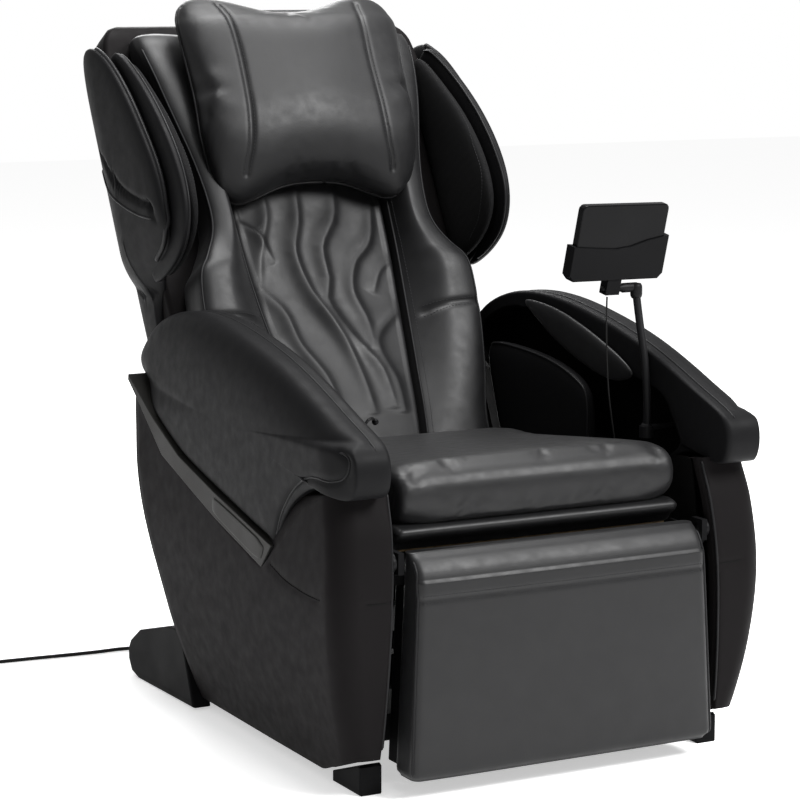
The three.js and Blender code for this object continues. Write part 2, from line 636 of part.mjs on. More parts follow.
addPair(chair, 'arm_shell', armShell(), LEATHER);
addPair(chair, 'arm_trim', armTrim(), TRIM_PLASTIC);
addPair(chair, 'arm_pad', armPad(), MESH_CLOTH);
addPair(chair, 'arm_airbag', armAirbag(), LEATHER);
add(chair, 'arm_hook', armHook(), PLASTIC());

add(backrest, 'back_frame', backFrame(), STEEL());
add(backrest, 'rear_shell', rearShell(), VINYL());
add(backrest, 'centre_pad', centrePad(), LEATHER());
addPair(backrest, 'back_bolster', backBolster(), LEATHER);
addPair(backrest, 'wing_shell', wingShell(), LEATHER);
addPair(backrest, 'wing_pad', wingPad(), LEATHER);
addPair(backrest, 'wing_mesh', wingMesh(), MESH_CLOTH);
add(backrest, 'head_pillow', headPillow(), LEATHER());
add(backrest, 'pillow_flap', pillowFlap(), LEATHER());

add(backrest, 'roller_carriage', carriage(), STEEL());
addPair(backrest, 'kneading_arm', kneadingArm(), STEEL);
addPair(backrest, 'roller_upper', roller(74), ROLLER);
addPair(backrest, 'roller_lower', roller(-74), ROLLER);

add(chair, 'leg_pad', legPad(), LEATHER());
add(chair, 'leg_frame', legFrame(), PLASTIC());

add(chair, 'stand_bracket', standBracket(), STEEL());
add(chair, 'stand_tube', standTube(), STEEL());
add(remoteStand, 'remote_holder', remoteHolder(), PLASTIC());
add(remoteStand, 'remote_control', remoteControl(), GLOSS());
add(chair, 'remote_lead', tube(REMOTE_LEAD, 1.5, 40, 8), RUBBER());

const cordNames = ['power_cord', 'power_cord_coil', 'power_plug'];
add(chair, 'power_gland', gland(), RUBBER());
add(chair, cordNames[0], tube(LEAD, CORD_RADIUS, 36, 8), RUBBER());
add(chair, cordNames[1], coil(), RUBBER());
add(chair, cordNames[2], plug(), RUBBER());

// The chair, without its mains lead, stands centred over the origin.
chair.updateMatrixWorld(true);
const footprint = new THREE.Box3();
chair.traverse((piece) => {
  if (piece.isMesh && !cordNames.includes(piece.name)) {
    footprint.union(new THREE.Box3().setFromObject(piece, true));
  }
});
chair.position.set(0, -(footprint.min.y + footprint.max.y) / 2, 0);

export default chair;
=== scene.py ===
import json
import math

import bpy
import numpy as np
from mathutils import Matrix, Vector
from mathutils.bvhtree import BVHTree

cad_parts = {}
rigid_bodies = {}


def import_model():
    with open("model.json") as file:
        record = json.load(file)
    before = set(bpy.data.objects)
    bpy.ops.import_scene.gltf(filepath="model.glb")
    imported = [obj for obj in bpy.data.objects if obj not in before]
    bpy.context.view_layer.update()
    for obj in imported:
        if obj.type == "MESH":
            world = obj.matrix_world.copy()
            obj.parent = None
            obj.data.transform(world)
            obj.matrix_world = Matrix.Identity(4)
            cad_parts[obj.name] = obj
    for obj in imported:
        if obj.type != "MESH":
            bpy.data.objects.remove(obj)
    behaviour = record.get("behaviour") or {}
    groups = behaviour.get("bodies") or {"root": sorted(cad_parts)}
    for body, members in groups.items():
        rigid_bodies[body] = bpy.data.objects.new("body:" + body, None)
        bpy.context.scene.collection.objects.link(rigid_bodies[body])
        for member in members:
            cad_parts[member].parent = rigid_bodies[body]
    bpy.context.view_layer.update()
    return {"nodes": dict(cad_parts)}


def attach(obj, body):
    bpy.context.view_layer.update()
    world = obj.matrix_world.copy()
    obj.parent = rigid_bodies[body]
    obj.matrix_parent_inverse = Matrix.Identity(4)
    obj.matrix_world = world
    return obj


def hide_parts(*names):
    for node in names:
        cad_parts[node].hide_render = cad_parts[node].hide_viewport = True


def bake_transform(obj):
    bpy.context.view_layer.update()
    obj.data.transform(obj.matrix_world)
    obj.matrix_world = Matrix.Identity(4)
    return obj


bl_info = {
    "name": "Massage chair",
    "version": (1, 0, 0),
    "blender": (4, 5, 0),
    "location": "3D View > Sidebar > Chair",
    "description": "Upholsters a reclining massage chair round its packed frame",
    "category": "Object",
}

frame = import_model()

MM = 0.001
FRONT_SHIFT = 575.872        # the middle of the footprint lies this far behind the panels' front, in mm
LEAN = math.radians(28)      # lean of the backrest at rest
HINGE_Y, HINGE_Z = 640, 330  # reclining hinge, in mm
SIDES = (("left", 1), ("right", -1))


# ---------- places and curves ----------
def at_chair(x, y, z):
    """Millimetres from the panels' front edge to metres in the frame."""
    x, y, z = np.broadcast_arrays(x, y, z)
    return np.stack([x, y - FRONT_SHIFT, z], -1) * MM


def at_back(x, behind, up):
    """Backrest millimetres (across, behind the hinge line, up the back) turned back by the lean."""
    y = HINGE_Y + np.multiply(up, math.sin(LEAN)) + np.multiply(behind, math.cos(LEAN))
    z = HINGE_Z + np.multiply(up, math.cos(LEAN)) - np.multiply(behind, math.sin(LEAN))
    return at_chair(x, y, z)


def evenly(points, count, closed=False):
    """Points at equal steps along a polyline."""
    points = np.vstack([points, points[:1]]) if closed else np.asarray(points)
    length = np.concatenate([[0], np.cumsum(np.linalg.norm(np.diff(points, axis=0), axis=1))])
    steps = np.linspace(0, length[-1], count, endpoint=not closed)
    return np.stack([np.interp(steps, length, column) for column in points.T], -1)


def through(points, count, closed=False):
    """Catmull-Rom curve through the points: 0.5 (2b + (c-a) f + (2a-5b+4c-d) f^2 + (3b-a-3c+d) f^3)."""
    p = np.asarray(points, float)
    ends = (p[-1:], p[:2]) if closed else (2 * p[:1] - p[1:2], 2 * p[-1:] - p[-2:-1])
    p = np.vstack([ends[0], p, ends[1]])
    spans = len(p) - 3
    t = np.linspace(0, spans, spans * 24 + 1)
    k = np.minimum(t.astype(int), spans - 1)
    f = (t - k)[:, None]
    a, b, c, d = p[k], p[k + 1], p[k + 2], p[k + 3]
    dense = 0.5 * (2 * b + (c - a) * f + (2 * a - 5 * b + 4 * c - d) * f**2 + (3 * b - a - 3 * c + d) * f**3)
    return evenly(dense[:-1] if closed else dense, count, closed)


def soften(corners, times=3):
    """Cuts every corner of closed outlines at a quarter of each side, again and again: 3/4 p + 1/4 next."""
    p = np.asarray(corners, float)
    for _ in range(times):
        q = np.roll(p, -1, axis=-2)
        p = np.stack([0.75 * p + 0.25 * q, 0.25 * p + 0.75 * q], -2).reshape(*p.shape[:-2], -1, p.shape[-1])
    return p


def rounded(corners, count, times=3):
    return evenly(soften(corners, times), count, closed=True)


def graph(stations):
    """A smooth function through [place, value] stations."""
    dense = through(stations, 200)
    return lambda at: np.interp(at, dense[:, 0], dense[:, 1])


def ease(t):
    t = np.clip(t, 0, 1)
    return t * t * (3 - 2 * t)


def bump(x, width):
    return np.exp(-(np.asarray(x) / width) ** 2)


def waves(a, b, seed, turns=5, scale=1.0):
    """Smooth unevenness: a sum of sines with fixed directions, wavelengths and phases."""
    rng = np.random.default_rng(seed)
    total = 0
    for k in range(turns):
        angle, phase = rng.uniform(0, math.tau, 2)
        rate = scale * (0.6 + 0.55 * k)
        total = total + np.sin(rate * (a * math.cos(angle) + b * math.sin(angle)) + phase) / (1 + 0.6 * k)
    return total / turns


# ---------- meshes ----------
def make_object(name, points, faces, finishes, rows=None):
    mesh = bpy.data.meshes.new(name)
    mesh.from_pydata(np.asarray(points).tolist(), [], faces)
    for finish in finishes:
        mesh.materials.append(finish)
    if rows is not None:
        mesh.polygons.foreach_set("material_index", np.asarray(rows, np.int32))
    mesh.shade_smooth()
    piece = bpy.data.objects.new(name, mesh)
    bpy.context.scene.collection.objects.link(piece)
    return piece


def volume(points, quads):
    """Signed volume inside faces given as quads: the sum of a . (b x c) / 6 over both halves."""
    a, b, c, d = (points[quads[:, k]] for k in range(4))
    return (np.einsum("ij,ij->i", a, np.cross(b, c)) + np.einsum("ij,ij->i", a, np.cross(c, d))).sum() / 6


def skin(name, grid, finishes, bands=None, sharp=None):
    """Closed surface over a grid of rings: each row is a ring, and a fan closes the first and last ring."""
    rows, cols = grid.shape[:2]
    index = np.arange(rows * cols).reshape(rows, cols)
    after = np.roll(index, -1, axis=1)
    quads = np.stack([index[:-1], after[:-1], after[1:], index[1:]], -1).reshape(-1, 4)
    points = np.vstack([grid.reshape(-1, 3), grid[0].mean(0), grid[-1].mean(0)])
    low, high = rows * cols, rows * cols + 1
    fans = np.vstack([
        np.stack([after[0], index[0], np.full(cols, low), np.full(cols, low)], -1),
        np.stack([index[-1], after[-1], np.full(cols, high), np.full(cols, high)], -1)])
    everything = np.vstack([quads, fans])
    if volume(points, everything) < 0:
        quads, fans = quads[:, ::-1], fans[:, [1, 0, 2, 3]]
    faces = quads.tolist() + fans[:, :3].tolist()
    of_row = None
    if bands is not None:
        of_row = np.concatenate([np.repeat(bands, cols), np.full(cols, bands[0]), np.full(cols, bands[-1])])
    piece = make_object(name, points, faces, finishes, of_row)
    if sharp:
        piece.data.set_sharp_from_angle(angle=math.radians(sharp))
    return piece


def rod(path, radius, sides=10, up=None, taper=None):
    """Rings of a round bar: path + r (cos a n + sin a m), n and m square to the path at each point."""
    path = np.asarray(path)
    along = np.gradient(path, axis=0)
    along /= np.linalg.norm(along, axis=1, keepdims=True)
    if up is None:
        n = np.cross(along[0], [0, 0, 1] if abs(along[0][2]) < 0.9 else [1, 0, 0])
        frames = []
        for t in along:
            n = n - t * np.dot(n, t)
            n = n / np.linalg.norm(n)
            frames.append(n)
        n = np.array(frames)
    else:
        n = up - along * np.einsum("ij,ij->i", up, along)[:, None]
        n /= np.linalg.norm(n, axis=1, keepdims=True)
    m = np.cross(along, n)
    a = np.linspace(0, math.tau, sides, endpoint=False)
    size = np.full(len(path), radius) if taper is None else radius * np.asarray(taper)
    return path[:, None] + size[:, None, None] * (
        np.cos(a)[None, :, None] * n[:, None] + np.sin(a)[None, :, None] * m[:, None])


def join_grids(name, grids, finishes):
    """One object of several closed surfaces."""
    points, faces, count = [], [], 0
    for grid in grids:
        rows, cols = grid.shape[:2]
        index = np.arange(rows * cols).reshape(rows, cols)
        after = np.roll(index, -1, axis=1)
        quads = np.stack([index[:-1], after[:-1], after[1:], index[1:]], -1).reshape(-1, 4)
        flat = grid.reshape(-1, 3)
        flip = volume(flat - flat.mean(0), quads) < 0
        quads = quads[:, ::-1] if flip else quads
        caps = [index[0][::-1], index[-1]]
        caps = [cap[::-1] for cap in caps] if flip else caps
        faces += (quads + count).tolist() + [(cap + count).tolist() for cap in caps]
        points.append(flat)
        count += len(flat)
    return make_object(name, np.vstack(points), faces, finishes)


def face_down(piece, path, lift=0.0):
    """The points of a piece's surface nearest to a path, with the normals there."""
    tree = BVHTree.FromObject(piece, bpy.context.evaluated_depsgraph_get())
    found = [tree.find_nearest(Vector(p)) for p in path]
    spots = np.array([tuple(f[0]) for f in found])
    normals = np.array([tuple(f[1]) for f in found])
    smooth = normals.copy()
    for _ in range(3):
        smooth[1:-1] = (smooth[:-2] + smooth[1:-1] + smooth[2:]) / 3
    smooth /= np.linalg.norm(smooth, axis=1, keepdims=True)
    return spots + smooth * lift, smooth


def press(piece, paths, width, depth):
    """Sinks a groove along paths: each vertex goes in along its normal by depth exp(-(distance/width)^2)."""
    mesh = piece.data
    count = len(mesh.vertices)
    points = np.empty(count * 3)
    normals = np.empty(count * 3)
    mesh.vertices.foreach_get("co", points)
    mesh.vertex_normals.foreach_get("vector", normals)
    points, normals = points.reshape(-1, 3), normals.reshape(-1, 3)
    moved = points.copy()
    for path in paths:
        dense = evenly(path, max(len(path), int(np.linalg.norm(np.diff(path, axis=0), axis=1).sum() / 0.002)))
        reach = 3 * width
        near = np.all((points > dense.min(0) - reach) & (points < dense.max(0) + reach), axis=1)
        spots = np.flatnonzero(near)
        away = np.full(len(spots), np.inf)
        for part in np.array_split(dense, max(1, len(dense) // 64)):
            gap = np.linalg.norm(points[spots][:, None] - part[None], axis=2).min(1)
            away = np.minimum(away, gap)
        moved[spots] -= normals[spots] * (depth * bump(away, width))[:, None]
    mesh.vertices.foreach_set("co", moved.ravel())
    mesh.update()


def thread_grid(path, normals, pitch, length, radius):
    """Rings of sewn stitches: short tapered bars every `pitch` along a path, each 6-sided with 4 rings."""
    step = np.linalg.norm(np.diff(path, axis=0), axis=1)
    run = np.concatenate([[0], np.cumsum(step)])
    at = np.arange(pitch / 2, run[-1], pitch)
    spot = np.stack([np.interp(at, run, c) for c in path.T], -1)
    ahead = np.stack([np.interp(at + 0.0008, run, c) for c in path.T], -1)
    behind = np.stack([np.interp(at - 0.0008, run, c) for c in path.T], -1)
    t = ahead - behind
    t /= np.maximum(np.linalg.norm(t, axis=1, keepdims=True), 1e-9)
    n = np.stack([np.interp(at, run, c) for c in normals.T], -1)
    n -= t * np.einsum("ij,ij->i", n, t)[:, None]
    n /= np.maximum(np.linalg.norm(n, axis=1, keepdims=True), 1e-9)
    m = np.cross(t, n)
    a = np.linspace(0, math.tau, 6, endpoint=False)
    shape = np.array([[-0.5, 0.35, -0.35], [-0.3, 1, 0], [0.3, 1, 0], [0.5, 0.35, -0.35]])
    rings = []
    for along, size, sink in shape:
        centre = spot + t * along * length + n * sink * radius
        rings.append(centre[:, None] + radius * size * (
            np.cos(a)[None, :, None] * n[:, None] + np.sin(a)[None, :, None] * m[:, None]))
    return np.stack(rings, 1)


def sew(name, piece, paths, body, finish, pitch=0.0065, length=0.0045, radius=0.00055, lift=0.0003):
    """Rows of stitches laid on a piece's surface along paths."""
    points, faces, count = [], [], 0
    for path in paths:
        dense = evenly(path, max(8, int(np.linalg.norm(np.diff(path, axis=0), axis=1).sum() / 0.003)))
        spots, normals = face_down(piece, dense, lift)
        rings = thread_grid(spots, normals, pitch, length, radius)
        number = len(rings)
        index = np.arange(number * 24).reshape(number, 4, 6) + count
        after = np.roll(index, -1, axis=2)
        quads = np.stack([index[:, :-1], index[:, 1:], after[:, 1:], after[:, :-1]], -1).reshape(-1, 4)
        caps = np.concatenate([index[:, 0], index[:, -1, ::-1]])
        faces += quads.tolist() + caps.tolist()
        points.append(rings.reshape(-1, 3))
        count += number * 24
    thread = make_object(name, np.vstack(points), faces, [finish])
    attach(thread, body)
    return thread


def pipe(name, piece, paths, body, finish, radius=0.0026, lift=0.0008):
    """Piping: a round cord of leather carried along paths laid on a piece's surface, with tapered ends."""
    grids = []
    for path in paths:
        dense = evenly(path, max(8, int(np.linalg.norm(np.diff(path, axis=0), axis=1).sum() / 0.005)))
        spots, normals = face_down(piece, dense, lift)
        for _ in range(2):
            spots[1:-1] = (spots[:-2] + 2 * spots[1:-1] + spots[2:]) / 4
        taper = np.ones(len(spots))
        taper[[0, -1]] = 0.3
        grids.append(rod(spots, radius, 10, normals, taper))
    cord = join_grids(name, grids, [finish])
    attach(cord, body)
    return cord


def inflate(piece, voxel=0.006, cap=0.02, pressure=4.0, stiffness=15.0, steps=20):
    """Blows a piece up as cloth: remeshed in voxels, 20 steps of pressure without gravity, no point further
    than `cap` from its start, then one subdivision."""
    scene = bpy.context.scene
    bpy.context.view_layer.objects.active = piece
    remesh = piece.modifiers.new("Even cloth", "REMESH")
    remesh.mode = "VOXEL"
    remesh.voxel_size = voxel
    apply_modifiers(piece)
    start = np.empty(len(piece.data.vertices) * 3)
    piece.data.vertices.foreach_get("co", start)
    cloth = piece.modifiers.new("Filling", "CLOTH")
    cloth.settings.quality = 6
    cloth.settings.mass = 0.4
    cloth.settings.use_pressure = True
    cloth.settings.uniform_pressure_force = pressure
    cloth.settings.tension_stiffness = stiffness
    cloth.settings.compression_stiffness = stiffness
    cloth.settings.bending_stiffness = 0.6
    cloth.settings.effector_weights.gravity = 0
    cloth.point_cache.frame_start = 1
    cloth.point_cache.frame_end = steps
    for step in range(1, steps + 1):
        scene.frame_set(step)
    shaped = piece.evaluated_get(bpy.context.evaluated_depsgraph_get()).data
    end = np.empty(len(shaped.vertices) * 3)
    shaped.vertices.foreach_get("co", end)
    piece.modifiers.remove(cloth)
    scene.frame_set(1)
    start, move = start.reshape(-1, 3), (end - start).reshape(-1, 3)
    size = np.linalg.norm(move, axis=1, keepdims=True)
    move *= np.minimum(1, cap / np.maximum(size, 1e-9))
    piece.data.vertices.foreach_set("co", (start + move).ravel())
    piece.data.update()
    fine = piece.modifiers.new("Fine", "SUBSURF")
    fine.levels = fine.render_levels = 1
    apply_modifiers(piece)
    piece.data.shade_smooth()


def apply_modifiers(piece):
    """Makes what the modifiers give the piece's own mesh."""
    depsgraph = bpy.context.evaluated_depsgraph_get()
    shaped = bpy.data.meshes.new_from_object(piece.evaluated_get(depsgraph))
    finishes = list(piece.data.materials)
    piece.modifiers.clear()
    piece.data = shaped
    piece.data.materials.clear()
    for finish in finishes:
        piece.data.materials.append(finish)


# ---------- surfaces ----------
def bar(profile, low, high, rounding, steps=40):
    """A side profile carried across: within `rounding` of an end, x = rounding (1 - cos a) from the end and
    the profile is drawn in along its normal by rounding (1 - sin a). Gives x and the rings."""
    a = np.linspace(0, math.pi / 2, 8)
    start = low + rounding * (1 - np.cos(a))
    draw = rounding * (1 - np.sin(a))
    middle = np.linspace(low + rounding, high - rounding, steps)[1:-1]
    x = np.concatenate([start, middle, low + high - start[::-1]])
    inset = np.concatenate([draw, np.zeros(len(middle)), draw[::-1]])
    along = np.roll(profile, -1, axis=0) - np.roll(profile, 1, axis=0)
    normal = np.stack([along[:, 1], -along[:, 0]], -1)
    normal /= np.linalg.norm(normal, axis=1, keepdims=True)
    area = np.cross(profile, np.roll(profile, -1, axis=0)).sum()
    rings = profile[None] - np.sign(area) * normal[None] * inset[:, None, None]
    return x, rings


def lens(outline, centre, low, high, fullness, rows=48):
    """A pad over a star-shaped outline: from the middle of one face, out round the rim and back to the middle
    of the other. Its section is the superellipse r = |cos a|^(2/n), h = sign(sin a) |sin a|^(2/n)."""
    a = np.linspace(math.pi / 2, -math.pi / 2, 2001)
    r = np.abs(np.cos(a)) ** (2 / fullness)
    h = np.sign(np.sin(a)) * np.abs(np.sin(a)) ** (2 / fullness)
    reach = np.linalg.norm(outline - centre, axis=1).mean()
    section = np.stack([r * reach * 0.22, h * (high - low) / 2], -1)
    run = np.concatenate([[0], np.cumsum(np.linalg.norm(np.diff(section, axis=0), axis=1))])
    at = np.linspace(run[-1] * 0.012, run[-1] * 0.988, rows)
    r, h = np.interp(at, run, r), np.interp(at, run, h)
    flat = centre + (outline - centre)[None] * r[:, None, None]
    return flat, (low + high) / 2 + h[:, None] * (high - low) / 2, r


def rounded_box(half, near, far, radius, across=40, deep=8, corner=8, near_radius=None):
    """Rings of a rounded rectangle, one for each entry of half, near and far: corner centres plus
    radius (cos a, sin a), with the straight sides shared out evenly."""
    a = np.linspace(-math.pi / 2, 0, corner)
    parts = []
    for sx, sy, turn in ((1, -1, 0), (1, 1, 90), (-1, 1, 180), (-1, -1, 270)):
        b = a + math.radians(turn)
        parts.append(np.stack([np.full(corner, sx), np.full(corner, sy), np.cos(b), np.sin(b)], -1))
        side = across if turn in (90, 270) else deep
        t = np.linspace(0, 1, side + 2)[1:-1, None]
        last = parts[-1][-1]
        nxt = {0: (1, 1), 90: (-1, 1), 180: (-1, -1), 270: (1, -1)}[turn]
        end = np.array([nxt[0], nxt[1], last[2], last[3]])
        parts.append(last + (end - last) * t)
    sx, sy, cx, cy = np.vstack(parts).T
    half, near, far = (np.asarray(v, float)[:, None] for v in (half, near, far))
    r = radius if near_radius is None else near_radius + (radius - near_radius) * (sy + 1) / 2
    r = np.minimum(r, (far - near) / 2 - 0.5)
    x = sx * (half - r) + r * cx
    y = (near + far) / 2 + sy * ((far - near) / 2 - r) + r * cy
    return x, y


# ---------- finishes ----------
def coordinates(nodes, links, scale):
    place = nodes.new("ShaderNodeTexCoord")
    mapping = nodes.new("ShaderNodeMapping")
    mapping.inputs["Scale"].default_value = (scale, scale, scale)
    links.new(place.outputs["Object"], mapping.inputs["Vector"])
    return mapping.outputs["Vector"]


def blank(name):
    finish = bpy.data.materials.new(name)
    finish.use_nodes = True
    nodes, links = finish.node_tree.nodes, finish.node_tree.links
    return finish, nodes, links, nodes["Principled BSDF"]


def two_tone(nodes, links, factor, low, high, socket, span=(0.3, 0.7)):
    """Runs a pattern through a ramp between two colours or greys into a socket."""
    ramp = nodes.new("ShaderNodeValToRGB")
    ramp.color_ramp.elements[0].position, ramp.color_ramp.elements[1].position = span
    ramp.color_ramp.elements[0].color = (*low, 1) if np.ndim(low) else (low, low, low, 1)
    ramp.color_ramp.elements[1].color = (*high, 1) if np.ndim(high) else (high, high, high, 1)
    links.new(factor, ramp.inputs["Fac"])
    links.new(ramp.outputs["Color"], socket)


def leather(name, color, rough=(0.36, 0.48), grain=620, depth=0.12, soft=0.25, specular=0.2, sheen=0.0):
    """Grained leather: round cells of grain for the bump, with slow unevenness of tone, gloss and surface."""
    finish, nodes, links, shader = blank(name)
    shader.inputs["Specular IOR Level"].default_value = specular
    shader.inputs["Sheen Weight"].default_value = sheen
    shader.inputs["Sheen Roughness"].default_value = 0.5
    vector = coordinates(nodes, links, 1.0)
    cloud = nodes.new("ShaderNodeTexNoise")
    cloud.inputs["Scale"].default_value = 9
    cloud.inputs["Detail"].default_value = 5
    links.new(vector, cloud.inputs["Vector"])
    darker, lighter = tuple(c * 0.94 for c in color), tuple(c * 1.07 for c in color)
    two_tone(nodes, links, cloud.outputs["Fac"], darker, lighter, shader.inputs["Base Color"])
    patch = nodes.new("ShaderNodeTexNoise")
    patch.inputs["Scale"].default_value = 45
    patch.inputs["Detail"].default_value = 6
    links.new(vector, patch.inputs["Vector"])
    two_tone(nodes, links, patch.outputs["Fac"], rough[0], rough[1], shader.inputs["Roughness"])
    cells = nodes.new("ShaderNodeTexVoronoi")
    cells.feature = "SMOOTH_F1"
    cells.inputs["Scale"].default_value = grain
    links.new(vector, cells.inputs["Vector"])
    fine = nodes.new("ShaderNodeBump")
    fine.inputs["Strength"].default_value = depth
    fine.inputs["Distance"].default_value = 0.0006
    links.new(cells.outputs["Distance"], fine.inputs["Height"])
    slow = nodes.new("ShaderNodeTexNoise")
    slow.inputs["Scale"].default_value = 26
    slow.inputs["Detail"].default_value = 3
    links.new(vector, slow.inputs["Vector"])
    broad = nodes.new("ShaderNodeBump")
    broad.inputs["Strength"].default_value = soft
    broad.inputs["Distance"].default_value = 0.0022
    links.new(slow.outputs["Fac"], broad.inputs["Height"])
    links.new(fine.outputs["Normal"], broad.inputs["Normal"])
    links.new(broad.outputs["Normal"], shader.inputs["Normal"])
    return finish


def knit(name, color, specular=0.15):
    """Knitted mesh: two crossed waves of loops for the bump and the tone."""
    finish, nodes, links, shader = blank(name)
    shader.inputs["Roughness"].default_value = 0.9
    shader.inputs["Specular IOR Level"].default_value = specular
    vector = coordinates(nodes, links, 1.0)
    total = nodes.new("ShaderNodeMath")
    total.operation = "MULTIPLY"
    for k, axis in enumerate(("Y", "Z")):
        wave = nodes.new("ShaderNodeTexWave")
        wave.bands_direction = axis
        wave.inputs["Scale"].default_value = 150
        wave.inputs["Distortion"].default_value = 0.6
        links.new(vector, wave.inputs["Vector"])
        links.new(wave.outputs["Fac"], total.inputs[k])
    two_tone(nodes, links, total.outputs[0], tuple(c * 0.45 for c in color), color,
             shader.inputs["Base Color"], (0.05, 0.6))
    relief = nodes.new("ShaderNodeBump")
    relief.inputs["Strength"].default_value = 0.6
    relief.inputs["Distance"].default_value = 0.0008
    links.new(total.outputs[0], relief.inputs["Height"])
    links.new(relief.outputs["Normal"], shader.inputs["Normal"])
    return finish


def moulded(name, color, rough, texture=900, depth=0.15, specular=0.08, coat=0.0):
    """Moulded or coated surface: fine speckle for the bump, slow unevenness of tone and gloss."""
    finish, nodes, links, shader = blank(name)
    shader.inputs["Specular IOR Level"].default_value = specular
    shader.inputs["Coat Weight"].default_value = coat
    shader.inputs["Coat Roughness"].default_value = 0.05
    vector = coordinates(nodes, links, 1.0)
    cloud = nodes.new("ShaderNodeTexNoise")
    cloud.inputs["Scale"].default_value = 14
    cloud.inputs["Detail"].default_value = 4
    links.new(vector, cloud.inputs["Vector"])
    two_tone(nodes, links, cloud.outputs["Fac"], tuple(c * 0.85 for c in color),
             tuple(min(1, c * 1.15) for c in color), shader.inputs["Base Color"])
    two_tone(nodes, links, cloud.outputs["Fac"], rough * 0.88, min(1, rough * 1.12),
             shader.inputs["Roughness"])
    speckle = nodes.new("ShaderNodeTexNoise")
    speckle.inputs["Scale"].default_value = texture
    links.new(vector, speckle.inputs["Vector"])
    relief = nodes.new("ShaderNodeBump")
    relief.inputs["Strength"].default_value = depth
    relief.inputs["Distance"].default_value = 0.0004
    links.new(speckle.outputs["Fac"], relief.inputs["Height"])
    links.new(relief.outputs["Normal"], shader.inputs["Normal"])
    return finish


def plywood(name):
    """Birch plywood: long bands of grain from a stretched noise."""
    finish, nodes, links, shader = blank(name)
    shader.inputs["Roughness"].default_value = 0.6
    vector = coordinates(nodes, links, 1.0)
    mapping = vector.node
    mapping.inputs["Scale"].default_value = (60, 4, 60)
    grain = nodes.new("ShaderNodeTexNoise")
    grain.inputs["Scale"].default_value = 1
    grain.inputs["Detail"].default_value = 8
    links.new(vector, grain.inputs["Vector"])
    two_tone(nodes, links, grain.outputs["Fac"], (0.3, 0.19, 0.09), (0.52, 0.37, 0.2),
             shader.inputs["Base Color"])
    return finish


FINISH = {}


def build_finishes():
    """All finishes, each made once; called by whichever operator runs first."""
    if FINISH:
        return FINISH
    chair = bpy.context.scene.massage_chair
    tone = tuple(chair.leather_color)
    FINISH.update(
        leather=leather("soft leather", tone, (0.4, 0.5), soft=0.15, specular=0.24, sheen=0.012),
        shell=leather("shell leather", tuple(c * 0.92 for c in tone), (0.46, 0.58), soft=0.08, specular=0.06),
        vinyl=leather("panel vinyl", tuple(chair.panel_color), (0.5, 0.62), grain=800, soft=0.04,
                      specular=0.03),
        piping=leather("piping leather", tuple(c * 1.25 for c in tone), (0.4, 0.5), grain=900, soft=0.0,
                       specular=0.12),
        thread=moulded("sewing thread", (0.022, 0.022, 0.023), 0.6, 1500, 0.3),
        # near-black: the dark line sunk in the side panels' seams, and painted shade in the arm trim's open
        # end
        gap=moulded("seam gap", (0.004, 0.004, 0.004), 0.9),
        mesh=knit("knitted mesh", (0.004, 0.004, 0.0044)),
        lining=knit("channel lining", (0.003, 0.003, 0.003), 0.05),
        plastic=moulded("satin plastic", (0.0045, 0.0045, 0.0048), 0.5, specular=0.03),
        trim=moulded("trim plastic", (0.012, 0.0115, 0.0105), 0.45, 1200, 0.2),
        gloss=moulded("polished plastic", (0.0035, 0.0035, 0.0038), 0.25, 300, 0.02, coat=0.03,
                      specular=0.04),
        steel=moulded("black powder coat", (0.007, 0.007, 0.0075), 0.42, 1600, 0.3),
        rubber=moulded("black rubber", (0.011, 0.011, 0.011), 0.75, 700, 0.1),
        nylon=moulded("roller nylon", (0.62, 0.58, 0.5), 0.45),
        plywood=plywood("birch plywood"))
    return FINISH


def settle(piece, body, slot, *nodes, fill=None):
    """Puts a piece on its body and hides the frame nodes it stands for; its slot is not used."""
    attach(piece, body)
    if nodes:
        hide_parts(*nodes)
    return piece


# ---------- cords ----------
COIL_X, COIL_Y = -660, 1128
CORD = 7.0
LAID = [(-246, 839, 62), (-246, 862, 61), (-246, 900, 48), (-247, 936, 26), (-249, 966, 9), (-253, 998, 4),
        (-262, 1030, 4), (-284, 1056, 4), (-318, 1066, 4), (-364, 1066, 4), (-414, 1069, 4), (-466, 1074, 4),
        (-520, 1079, 4), (-572, 1083, 4), (-620, 1084.4, 4)]
REMOTE_LEAD = [(246, 226, 743), (246, 227, 700), (249, 229, 640), (255, 232, 580), (264, 235, 530),
               (273, 238, 490), (280, 240, 450), (281, 240, 415), (281, 240, 384)]


def coil_path():
    """Six turns in two columns and three layers: angle -90 - t, radius and height easing from one place to
    the next over 60 degrees, each time 60 degrees earlier in the turn so that no turn meets another."""
    near, wide = 36.4, 43.6
    places = [(wide, 4.0), (near, 4.0), (near, 11.2), (wide, 11.2), (wide, 18.4), (near, 18.4)]
    total = 1980 - 270
    t = np.arange(0, total + 1, 10.0)
    radius = np.full(len(t), places[0][0])
    height = np.full(len(t), places[0][1])
    for k in range(1, len(places)):
        w = ease((t - (300 * k - 0)) / 60)
        radius += w * (places[k][0] - places[k - 1][0])
        height += w * (places[k][1] - places[k - 1][1])
    angle = np.radians(-90 - t)
    return np.stack([COIL_X + radius * np.cos(angle), COIL_Y + radius * np.sin(angle), height], -1)


def mains_path():
    turns = coil_path()
    end = turns[-1]
    a = np.radians(np.linspace(180, 90, 8))
    last = np.stack([-668 + 28.4 * np.cos(a), 1176 + 28 * np.sin(a), np.linspace(14, 11, 8)], -1)
    run = np.array([[end[0], 1140, 17.6], [end[0], 1158, 15.6]])
    laid = through(LAID, 90)
    return np.vstack([laid, turns, run, last])


